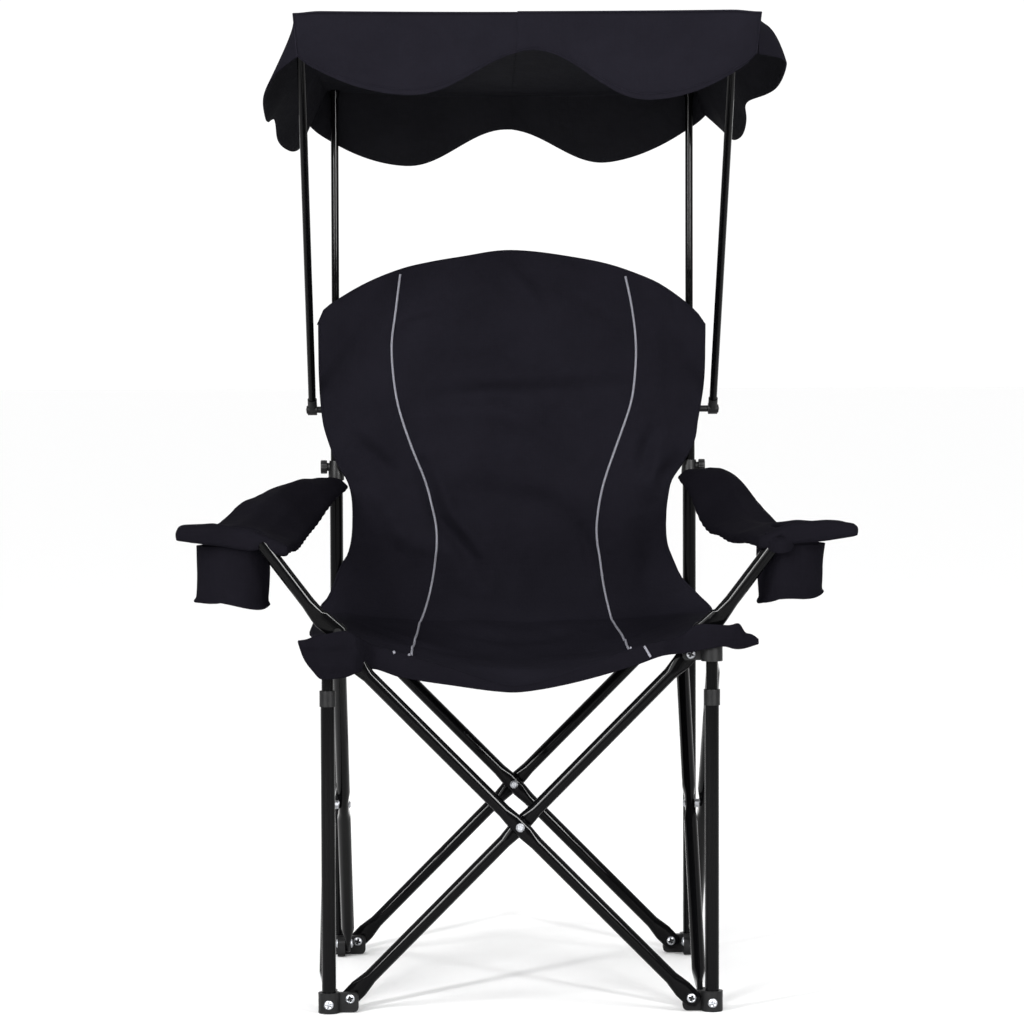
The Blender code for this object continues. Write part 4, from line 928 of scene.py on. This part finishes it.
def seat_height(s, y):
    """The seat's top face: flat over the corner mouldings and hanging between them."""
    ahead = -y / 0.243
    bow = math.cos(max(-1, ahead) * math.pi / 2)
    hang = mix(0.85, 1, bow) if ahead > 0 else bow
    across = max(0, 1 - (s / 0.85) ** 2)
    x = s * seat_half_width(y)
    folds = fold_depth(x, y, SEAT_FOLDS) if abs(s) < 0.9 else 0
    creases = 0.0022 * ripple((s * 1.3, y * 4, 0), 2.4, 21) * across
    creases += 0.0010 * ripple((s * 3, y * 9, 0), 2.9, 5) * across
    z = SEAT_REST_Z - SEAT_SAG * hang * across + creases - folds * across ** 0.5
    if ahead > 0.72 and abs(x) < 0.2:
        edge = min(interpolate(HEM_TOP, x), SEAT_REST_Z)
        z = mix(z, edge, smooth((ahead - 0.72) / 0.28) * smooth((0.2 - abs(x)) / 0.02))
    return z


def seat_half_width(y):
    """Half the seat's width: its sides wrap over the corner mouldings."""
    return 0.2840 - 0.010 * smooth((-y - 0.12) / 0.12)


def seat_point(s, y):
    """A place on the seat's top face."""
    return Vector((s * seat_half_width(y), y, seat_height(s, y)))


def seat_half(half, far):
    """Half of the seat's cloth, from the middle line to its far edge."""
    piece = draped_sheet(
        f"seat_sling_{half}", sheet_grid(76, 36, 0.52, 0.25),
        lambda u, v: seat_point(2 * u - 1, far * v), "woven_polyester", 0.0030, (2, 1),
    )
    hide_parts(f"seat_{half}")
    return piece


def seat_piping(side, half, start, end):
    """One side's piping on one half of the seat, laid just over the cloth."""
    points = []
    for step in range(31):
        y = mix(start, end, step / 30)
        point = seat_point(interpolate(SEAT_PIPING[side], y) / seat_half_width(y), y)
        points.append(point + Vector((0, 0, 0.0008)))
    return piping(f"seat_piping_{side}_{half}", points)


def hem_piping(side):
    """The short end of one side's piping that shows on the front hem."""
    (start_x, start_z), (end_x, end_z) = HEM_PIPING[side]
    points = []
    for step in range(7):
        x, z = mix(start_x, end_x, step / 6), mix(start_z, end_z, step / 6)
        points.append(Vector((x, hem_depth(x, z) - 0.0008, z)))
    return piping(f"hem_piping_{side}", points)


def hem_depth(x, z):
    """The front hem's face: flat in the middle, and standing forward round the corner posts."""
    low, top = interpolate(HEM_LOW, x), interpolate(HEM_TOP, x)
    rise = clamp((z - low) / (top - low))
    pocket = smooth((abs(x) - 0.188) / 0.034)
    belly = math.sin(math.pi * rise)
    y = mix(-0.2448 - 0.0035 * (1 - rise) - 0.0015 * belly, -0.2752 - 0.0030 * belly, pocket)
    if x < -0.215:
        y += 0.013 * smooth((-0.262 - x) / 0.034)
        near = smooth((-0.21 - x) / 0.02)
        y += 0.0046 * math.exp(-((z - 0.4850) / 0.0032) ** 2) * near
        y -= 0.0030 * math.exp(-((z - 0.4660) / 0.0120) ** 2) * near
    if x > 0.285:
        y += 0.006 * smooth((x - 0.285) / 0.032) - 0.002 * math.sin(40 * x)
    return y + 0.0010 * ripple((x, rise * 0.02, 0), 40, 9)


def front_band():
    """The seat's front hem and the corner pockets that it runs into, in one sheet."""
    def surface(u, v):
        x = mix(HEM_LOW[0][0], HEM_LOW[-1][0], u)
        z = mix(interpolate(HEM_LOW, x), interpolate(HEM_TOP, x), v)
        return Vector((x, hem_depth(x, z), z))

    # Painted shade: the hem and corner pockets take the cloth painted darker to stand in for shade
    piece = draped_sheet("seat_front_band", sheet_grid(130, 12, 0.62, 0.05), surface,
                         "polyester_painted_shade", 0.0022, (1, -1))
    return piece


# Armrests: the solid's own shape, remeshed finely and softened like slack padded cloth.


# How the cloth of each armrest departs from its solid, as (y, metres): its outer and inner edge
# up or down, its outer edge in and its inner edge out
ARM_SHIFTS = {
    "left": {
        "outer": [(-0.27, -0.003), (-0.24, 0.000), (-0.17, -0.013), (-0.10, -0.011),
                  (-0.03, 0.001), (0.05, 0.008), (0.12, 0.012), (0.19, 0.010), (0.239, 0.003)],
        "inner": [(-0.27, 0.000), (-0.20, -0.010), (-0.13, -0.020), (0.00, -0.018),
                  (0.08, -0.010), (0.15, -0.003), (0.239, 0.000)],
        "narrow": [(-0.27, 0.002), (-0.23, 0.004), (-0.17, 0.020), (-0.10, 0.027), (0.00, 0.020),
                   (0.08, 0.012), (0.15, 0.006), (0.239, 0.0)],
        "pinch": [(-0.27, 0.003), (-0.20, 0.008), (-0.10, 0.013), (0.00, 0.013), (0.10, 0.008),
                  (0.239, 0.0)],
    },
    "right": {
        "outer": [(-0.27, 0.000), (-0.24, -0.002), (-0.20, -0.003), (-0.15, -0.013),
                  (-0.05, -0.028), (0.05, -0.006), (0.12, 0.019), (0.18, 0.024), (0.22, 0.016),
                  (0.239, 0.012)],
        "inner": [(-0.27, 0.006), (-0.20, 0.000), (-0.12, -0.013), (-0.04, -0.018),
                  (0.02, -0.026), (0.08, -0.020), (0.15, 0.003), (0.239, 0.012)],
        "narrow": [(-0.27, 0.008), (-0.23, 0.010), (-0.15, 0.030), (-0.05, 0.045), (0.05, 0.032),
                   (0.12, 0.018), (0.18, 0.005), (0.239, 0.0)],
        "pinch": [(-0.27, 0.014), (-0.22, 0.010), (-0.14, 0.004), (-0.05, 0.002), (0.239, 0.0)],
    },
}


def soft_copy(node, name, voxel, rounds):
    """A softened copy of a CAD node's shape, to be dressed as cloth."""
    bm = bmesh.new()
    bm.from_mesh(frame["nodes"][node].data)
    bmesh.ops.remove_doubles(bm, verts=bm.verts, dist=SAME_PLACE)
    mesh = bpy.data.meshes.new(name)
    bm.to_mesh(mesh)
    bm.free()
    piece = link(name, mesh)
    fine = piece.modifiers.new("fine_mesh", "REMESH")
    fine.mode = "VOXEL"
    fine.voxel_size = voxel
    graph = bpy.context.evaluated_depsgraph_get()
    refined = bpy.data.meshes.new_from_object(piece.evaluated_get(graph))
    piece.modifiers.clear()
    piece.data = refined
    bm = bmesh.new()
    bm.from_mesh(refined)
    for _ in range(rounds):
        bmesh.ops.smooth_vert(
            bm, verts=bm.verts, factor=0.5, use_axis_x=True, use_axis_y=True, use_axis_z=True
        )
    bm.to_mesh(refined)
    bm.free()
    refined.shade_smooth()
    return piece


def arm_cover(side, sign):
    """The armrest: slack cloth that twists between its rear tie and its stiff front roll."""
    piece = soft_copy(f"armrest_{side}", f"arm_cover_{side}", 0.0030, 16)
    low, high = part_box(f"armrest_{side}")
    shifts = ARM_SHIFTS[side]
    for vert in piece.data.vertices:
        x, y = abs(vert.co.x), vert.co.y
        ahead = (high[1] - y) / (high[1] - low[1])
        inner, outer = mix(0.236, 0.303, ahead), mix(0.276, 0.460, ahead)
        out = clamp((x - inner) / (outer - inner))
        vert.co.x -= sign * interpolate(shifts["narrow"], y) * out ** 2
        vert.co.x += sign * interpolate(shifts["pinch"], y) * (1 - out) ** 2
        vert.co.z += mix(interpolate(shifts["inner"], y), interpolate(shifts["outer"], y), out)
        swell = 0.0014 * ripple((x * 2, y, 0), 13, 31 + sign) + 0.0004 * ripple(vert.co, 30, 7)
        vert.co.z += swell
        # The front roll is stiffer, so it stands a fifth thicker round its middle plane
        front = smooth((-0.244 - y) / 0.016)
        middle = mix(0.623, 0.646, (x - 0.303) / 0.157)
        vert.co.z += (vert.co.z - middle) * 0.20 * front
    # Painted shade: the armrest takes the cloth painted darker to stand in for shade
    piece.data.materials.clear()
    piece.data.materials.append(material("polyester_painted_shade"))
    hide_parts(f"armrest_{side}")
    return piece


def post_patch():
    """The patch on the right armrest's roll that the arm post's top slides behind."""
    def surface(u, v):
        hump = math.sin(math.pi * u) ** 0.6
        x = 0.346 + (u - 0.5) * mix(0.038, 0.040, v)
        y = -0.2640 - 0.0125 * hump * smooth((1 - v) / 0.5)
        low = 0.6130 + 0.006 * (2 * u - 1) ** 2
        return Vector((x, y, mix(low, 0.6400, v)))

    # Painted shade: the patch takes the cloth painted darker to stand in for shade
    piece = draped_sheet("arm_patch_right", sheet_grid(20, 12, 0.060, 0.045), surface,
                         "polyester_painted_shade", 0.0016, (1, -1))
    return piece


def swing_with_arm(piece, side):
    """Rides the arm, with a mesh of its own."""
    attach(piece, f"arm_{side}")
    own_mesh(piece)


# What the slack of each cup pocket does: how much its floor is lifted at its middle, how far it
# leans out or in, and by what share it narrows or widens towards the floor
CUP_SLACK = {
    "left": {"middle": 0.4, "lean": 0.002, "narrow": -0.04},
    "right": {"middle": 0.85, "lean": -0.018, "narrow": 0.09},
}
CUP_TILT = 0.013


def cup_pocket(side, sign):
    """The cup pocket: a round drop-in cloth pocket with a bound rim and a slack floor."""
    low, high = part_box(f"cup_pocket_{side}")
    centre = Vector(((low[0] + high[0]) / 2, (low[1] + high[1]) / 2, 0))
    floor, rim = low[2], high[2]
    bm = bmesh.new()
    spun(bm, [
        (0.0, floor + 0.0035), (0.022, floor + 0.0012), (0.040, floor + 0.0008),
        (0.0462, floor + 0.0022), (0.0500, floor + 0.0008), (0.0498, floor + 0.0040),
        (0.0470, floor + 0.0065), (0.0468, floor + 0.014), (0.0472, floor + 0.030),
        (0.0474, floor + 0.046), (0.0476, floor + 0.060), (0.0478, rim - 0.016),
    ], 48)
    bmesh.ops.remove_doubles(bm, verts=bm.verts, dist=SAME_PLACE)
    slackness = CUP_SLACK[side]
    for vert in bm.verts:
        turn = math.atan2(vert.co.y, vert.co.x)
        height = clamp((vert.co.z - floor) / (rim - floor))
        radius = math.hypot(vert.co.x, vert.co.y)
        if radius > 0.03:
            slack = 0.0022 * math.sin(3 * turn + 5 * height + sign) * (1 - height)
            slack += 0.0016 * ripple(vert.co, 30, 3 + sign)
            vert.co.x *= 1 + slack / radius
            vert.co.y *= 1 + slack / radius
        outward = vert.co.x * sign / 0.048
        tip = 0.4 * outward + slackness["middle"] + 0.2 * math.sin(3 * turn + 1.0)
        vert.co.z += (1 - height) ** 2 * CUP_TILT * tip
        vert.co.x *= 1 - slackness["narrow"] * (1 - height) ** 0.5
        vert.co.x += sign * slackness["lean"] * (1 - 0.45 * smooth((height - 0.75) / 0.25))
    bmesh.ops.translate(bm, verts=bm.verts, vec=centre)
    bmesh.ops.recalc_face_normals(bm, faces=bm.faces)
    # Painted shade: the pocket takes the cloth painted darker to stand in for shade
    piece = show(f"cup_cloth_{side}", bm, ["polyester_painted_shade"])
    cloth_modifiers(piece, 0.0018)
    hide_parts(f"cup_pocket_{side}")
    return piece


# Screw heads and grips, with their sizes and the places of the mouldings that they sit on

GRIP_RADIUS, GRIP_LENGTH, GRIP_RIDGES = 0.0098, 0.0092, 18
EAR_MIDDLE = 0.0048
HEAD_DEPTH = 0.0055
NUT_DEPTH = 0.0098 + 0.004 + 0.0003
PIN_REACH = 0.028
PIN_RISE = 0.018
HUB_Z = 0.478
POST_SCREW_OUT, POST_SCREW_Z = 0.0147, 0.012


def thumb_grip(side, sign):
    """The knurled plastic grip moulded over the head of a clamp's thumb screw."""
    low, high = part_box(f"thumb_screw_{side}")
    centre_y, centre_z = (low[1] + high[1]) / 2, (low[2] + high[2]) / 2
    outer = max(abs(low[0]), abs(high[0])) + 0.0008
    bm = bmesh.new()
    bmesh.ops.create_cone(bm, cap_ends=True, cap_tris=False, segments=72, radius1=GRIP_RADIUS,
                          radius2=GRIP_RADIUS, depth=GRIP_LENGTH)
    rims = [edge for edge in bm.edges if not edge.verts[0].co.z * edge.verts[1].co.z < 0]
    bmesh.ops.bevel(bm, geom=rims, offset=0.0011, segments=3, affect="EDGES", profile=0.5,
                    material=-1)
    for vert in bm.verts:
        turn = math.atan2(vert.co.y, vert.co.x)
        radius = math.hypot(vert.co.x, vert.co.y)
        if radius > GRIP_RADIUS - 0.0012:
            ridge = 1 - 0.05 * (0.5 - 0.5 * math.cos(GRIP_RIDGES * turn))
            vert.co.x *= ridge
            vert.co.y *= ridge
    place = (Matrix.Translation((sign * (outer - GRIP_LENGTH / 2), centre_y, centre_z))
             @ Matrix.Rotation(math.pi / 2, 4, "Y"))
    bmesh.ops.transform(bm, matrix=place, verts=bm.verts)
    bmesh.ops.recalc_face_normals(bm, faces=bm.faces)
    piece = show(f"thumb_grip_{side}", bm, ["moulded_nylon"])
    piece.data.set_sharp_from_angle(angle=math.radians(40))
    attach(piece, f"thumb_screw_{side}")


def screw_dome(bm, place, radius, height):
    """Adds one domed, cross-recessed screw head to a bmesh."""
    dome = bmesh.new()
    steps = 6
    profile = [
        (radius * math.sin(math.pi / 2 * step / steps),
         height * math.cos(math.pi / 2 * step / steps)) for step in range(steps + 1)
    ]
    spun(dome, [*profile, (radius, -0.0004)], 24)
    bmesh.ops.remove_doubles(dome, verts=dome.verts, dist=1e-6)
    for vert in dome.verts:
        along = max(abs(vert.co.x), abs(vert.co.y))
        across = min(abs(vert.co.x), abs(vert.co.y))
        if along < radius * 0.55 and across < radius * 0.14 and vert.co.z > 0:
            vert.co.z -= height * 0.45
    rim = [edge for edge in dome.edges if edge.is_boundary]
    bmesh.ops.contextual_create(dome, geom=rim)
    bmesh.ops.recalc_face_normals(dome, faces=dome.faces)
    bmesh.ops.transform(dome, matrix=place, verts=dome.verts)
    mesh = bpy.data.meshes.new("screw_dome")
    dome.to_mesh(mesh)
    dome.free()
    bm.from_mesh(mesh)
    bpy.data.meshes.remove(mesh)


def quarter_place(turn, height):
    """The place of a corner moulding: the front left corner turned by quarters."""
    start = Matrix.Translation((-POST, -POST, height))
    return Matrix.Rotation(turn * math.pi / 2, 4, "Z") @ start


def pin_ends(primary, tube_side, rise):
    """Where a pin's two heads sit on a moulding, each as a place with +Z out of the head."""
    places = []
    for out, depth in ((tube_side, NUT_DEPTH), (-tube_side, HEAD_DEPTH)):
        if primary:
            spot = Matrix.Translation((PIN_REACH, EAR_MIDDLE + out * depth, rise))
            turn = Matrix.Rotation(-out * math.pi / 2, 4, "X")
        else:
            spot = Matrix.Translation((EAR_MIDDLE + out * depth, PIN_REACH, rise))
            turn = Matrix.Rotation(out * math.pi / 2, 4, "Y")
        places.append(spot @ turn)
    return places


def post_screw(odd):
    """Where the screw that holds a post in its foot sits: always on the foot's front."""
    if odd:
        return (Matrix.Translation((-POST_SCREW_OUT, 0, POST_SCREW_Z))
                @ Matrix.Rotation(-math.pi / 2, 4, "Y"))
    return (Matrix.Translation((0, -POST_SCREW_OUT, POST_SCREW_Z))
            @ Matrix.Rotation(math.pi / 2, 4, "X"))


def corner_screws(name, body, turn, height, ends):
    """The screw heads of one corner moulding, in one piece."""
    parts = bpy.context.scene.camp_frame
    bm = bmesh.new()
    for place in ends:
        spin = Matrix.Rotation(0.35 + turn * 0.8, 4, "Z")
        screw_dome(bm, quarter_place(turn, height) @ place @ spin, parts.screw_radius,
                   parts.screw_height)
    piece = show(name, bm, ["zinc_plated_steel"])
    piece.data.set_sharp_from_angle(angle=math.radians(45))
    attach(piece, body)


def hold_light(lamp, spot, aim):
    """Puts a light at a spot and aims it."""
    holder = link(lamp.name, lamp)
    holder.location = spot
    look = Vector(aim) - Vector(spot)
    holder.rotation_euler = look.to_track_quat("-Z", "Y").to_euler()
    return holder


def softbox(name, size, power, spot, aim):
    """A rectangular softbox of a width and height."""
    lamp = bpy.data.lights.new(name, "AREA")
    lamp.shape = "RECTANGLE"
    lamp.size, lamp.size_y = size
    lamp.energy = power
    return hold_light(lamp, spot, aim)


def round_shading():
    """A node group that shades facets under 40 degrees apart as one round surface."""
    group = bpy.data.node_groups.new("round_shading", "GeometryNodeTree")
    for way in ("INPUT", "OUTPUT"):
        group.interface.new_socket("Geometry", in_out=way, socket_type="NodeSocketGeometry")
    start = add_node(group, "NodeGroupInput")
    joined = add_node(group, "GeometryNodeMergeByDistance", {"Distance": 0.00001},
                      {"Geometry": start.outputs["Geometry"]})
    turn = add_node(group, "GeometryNodeInputMeshEdgeAngle")
    sharp = add_node(group, "FunctionNodeCompare",
                     {"operation": "GREATER_THAN", "B": math.radians(40)},
                     {"A": turn.outputs["Unsigned Angle"]})
    shaded = add_node(group, "GeometryNodeSetMeshNormal", {"Remove Custom": True},
                      {"Mesh": joined.outputs["Geometry"],
                       "Edge Sharpness": sharp.outputs["Result"]})
    add_node(group, "NodeGroupOutput", {}, {"Geometry": shaded.outputs["Mesh"]})
    return group


class CAMPCHAIR_OT_frame_finish(bpy.types.Operator):
    """Give the steel, nylon and zinc pieces of the frame their finishes"""

    bl_idname = "campchair.frame_finish"
    bl_label = "Frame finishes"

    def execute(self, context):
        slots = {part["node"]: part["material_slot"] for part in frame["record"]["subparts"]}
        names = {
            "coated_steel": "gloss_powder_coat", "black_plastic": "moulded_nylon",
            "bright_screw": "zinc_plated_steel", "cloth": "woven_polyester_laid",
        }
        shading = round_shading()
        for node, obj in frame["nodes"].items():
            obj.modifiers.new("round_shading", "NODES").node_group = shading
            finish = material(names[slots[node]])
            if not obj.material_slots:
                raise RuntimeError(f"{node} has no material slot")
            for held in obj.material_slots:
                held.material = finish
        return {"FINISHED"}


class CAMPCHAIR_OT_screws(bpy.types.Operator):
    """Put a domed zinc screw head over every pivot pin and post screw, and grips on the clamps"""

    bl_idname = "campchair.screws"
    bl_label = "Screw heads and grips"

    def execute(self, context):
        for turn, name in enumerate(("front_left", "front_right", "rear_right", "rear_left")):
            ends = pin_ends(True, 1, PIN_RISE) + pin_ends(False, -1, PIN_RISE)
            ends.append(post_screw(turn % 2))
            corner_screws(f"foot_screws_{name}", f"leg_{name}", turn, 0, ends)
            upper = "hub" if name.startswith("front") else "slider"
            ends = pin_ends(True, -1, 0) + pin_ends(False, 1, 0)
            corner_screws(f"{upper}_screws_{name}", f"{upper}_{name}", turn, HUB_Z, ends)
        for side, sign in SIDES:
            thumb_grip(side, sign)
        return {"FINISHED"}


class CAMPCHAIR_OT_canopy(bpy.types.Operator):
    """Hang the canopy cloth with its scalloped edges on the poles"""

    bl_idname = "campchair.canopy"
    bl_label = "Canopy"

    def execute(self, context):
        for side, sign in SIDES:
            canopy_half(side, sign)
        return {"FINISHED"}


class CAMPCHAIR_OT_back(bpy.types.Operator):
    """Hang the back sling, its bound edge, its sleeves and its reflective piping"""

    bl_idname = "campchair.back"
    bl_label = "Back"

    def execute(self, context):
        pieces = [
            back_panel(), back_binding(),
            back_piping("left", PIPING_LEFT), back_piping("right", PIPING_RIGHT),
            *(sleeve(side, sign) for side, sign in SIDES),
        ]
        for piece in pieces:
            gather(piece, "upper_left")
        return {"FINISHED"}


class CAMPCHAIR_OT_seat(bpy.types.Operator):
    """Lay the seat sling, its front hem with the corner pockets, and its piping"""

    bl_idname = "campchair.seat"
    bl_label = "Seat"

    def execute(self, context):
        front = seat_half("front", SEAT_FRONT_Y)
        rear = seat_half("rear", SEAT_REAR_Y)
        pieces = [(front, "seat_front"), (rear, "seat_rear")]
        for side in SEAT_PIPING:
            pieces += [(seat_piping(side, "front", 0.0, PIPING_FRONT_Y), "seat_front"),
                       (seat_piping(side, "rear", PIPING_REAR_Y, 0.0), "seat_rear")]
        band = front_band()
        pieces += [(hem_piping(side), "hub_front_left") for side in HEM_PIPING]
        for piece, body in [*pieces, (band, "hub_front_left")]:
            gather(piece, body)
        return {"FINISHED"}


class CAMPCHAIR_OT_arms(bpy.types.Operator):
    """Make the padded cloth armrests and the cup pockets under them"""

    bl_idname = "campchair.arms"
    bl_label = "Arms and cup pockets"

    def execute(self, context):
        for side, sign in SIDES:
            for piece in (arm_cover(side, sign), cup_pocket(side, sign)):
                swing_with_arm(piece, side)
        swing_with_arm(post_patch(), "right")
        return {"FINISHED"}


class CAMPCHAIR_OT_studio(bpy.types.Operator):
    """Set the pale floor, the soft lights and the photograph's camera"""

    bl_idname = "campchair.studio"
    bl_label = "Studio"

    def execute(self, context):
        scene = context.scene
        bm = bmesh.new()
        bmesh.ops.create_grid(bm, x_segments=2, y_segments=2, size=40)
        bmesh.ops.translate(bm, verts=bm.verts, vec=(0, 0, -0.0006))
        floor = show("studio_floor", bm, ["seamless_paper"], smooth_faces=False)
        world = bpy.data.worlds.new("white_backdrop")
        scene.world = world
        world.use_nodes = True
        tree = world.node_tree
        way = add_node(tree, "ShaderNodeTexCoord")
        part = add_node(tree, "ShaderNodeSeparateXYZ", {}, {"Vector": way.outputs["Object"]})
        levels = []
        for axis, start, end, peak in (("Y", 0.0, 0.5, 1.05), ("Z", 0.45, 0.85, 1.3)):
            ramp = add_node(
                tree, "ShaderNodeMapRange",
                {"From Min": start, "From Max": end, "To Min": 0.25, "To Max": peak},
                {"Value": part.outputs[axis]},
            )
            levels.append(ramp.outputs["Result"])
        glow = add_node(
            tree, "ShaderNodeMath", {"operation": "MAXIMUM"}, {0: levels[0], 1: levels[1]}
        )
        tree.links.new(glow.outputs["Value"], tree.nodes["Background"].inputs["Strength"])
        tree.nodes["Background"].inputs["Color"].default_value = (1, 1, 1, 1)
        sun = bpy.data.lights.new("soft_key", "SUN")
        sun.energy = 0.9
        sun.angle = math.radians(25)
        hold_light(sun, (-0.9, -2.4, 1.25), (0, 0, 0.3))
        for name, side, power in (("strip_left", -2.0, 72), ("strip_right", 2.0, 46)):
            softbox(name, (0.16, 2.2), power, (side, -2.4, 2.1), (0, 0, 0.7))
        # Softboxes that only the gloss of the tubes sees, for the photo's thin white lines
        for name, side, power in (("gloss_left", -1.75, 190), ("gloss_right", 1.75, 260)):
            holder = softbox(name, (0.9, 1.5), power, (side, -2.5, 1.75), (0, 0, 0.4))
            holder.visible_diffuse = False
            holder.visible_camera = False
        lens = bpy.data.cameras.new("photo_camera")
        lens.lens = context.scene.camp_studio.lens
        lens.sensor_width = 36
        lens.clip_end = 60
        camera = link("photo_camera", lens)
        camera.location = (-0.1005, -5.8088, 0.9478)
        camera.rotation_euler = (math.radians(90 - 2.880), math.radians(0.1636),
                                 math.radians(-0.944))
        scene.camera = camera
        scene.view_settings.view_transform = "Standard"
        return {"FINISHED"}


class CAMPCHAIR_PT_panel(bpy.types.Panel):
    """Lists the chair's pieces in the sidebar"""

    bl_idname = "CAMPCHAIR_PT_panel"
    bl_label = "Camp Chair"
    bl_space_type = "VIEW_3D"
    bl_region_type = "UI"
    bl_category = "Camp Chair"

    def draw(self, context):
        column = self.layout.column(align=True)
        for operator in OPERATORS:
            column.operator(operator.bl_idname)
        for group, keys in (
            (context.scene.camp_cloth, ("shade", "lining", "painted_shade_cloth", "piping", "notch_drop")),
            (context.scene.camp_frame, ("coating", "nylon", "zinc", "screw_radius")),
            (context.scene.camp_studio, ("lens", "paper")),
        ):
            for key in keys:
                column.prop(group, key)


OPERATORS = (
    CAMPCHAIR_OT_frame_finish,
    CAMPCHAIR_OT_screws,
    CAMPCHAIR_OT_canopy,
    CAMPCHAIR_OT_back,
    CAMPCHAIR_OT_seat,
    CAMPCHAIR_OT_arms,
    CAMPCHAIR_OT_studio,
)
CLASSES = (ClothSettings, FrameSettings, StudioSettings, *OPERATORS, CAMPCHAIR_PT_panel)


def register():
    for item in CLASSES:
        bpy.utils.register_class(item)
    bpy.types.Scene.camp_cloth = PointerProperty(type=ClothSettings)
    bpy.types.Scene.camp_frame = PointerProperty(type=FrameSettings)
    bpy.types.Scene.camp_studio = PointerProperty(type=StudioSettings)


def unregister():
    del bpy.types.Scene.camp_studio
    del bpy.types.Scene.camp_frame
    del bpy.types.Scene.camp_cloth
    for item in reversed(CLASSES):
        bpy.utils.unregister_class(item)


def main():
    register()
    bpy.ops.campchair.studio()
    bpy.ops.campchair.frame_finish()
    bpy.ops.campchair.screws()
    bpy.ops.campchair.canopy()
    bpy.ops.campchair.back()
    bpy.ops.campchair.seat()
    bpy.ops.campchair.arms()


if __name__ == "__main__":
    main()
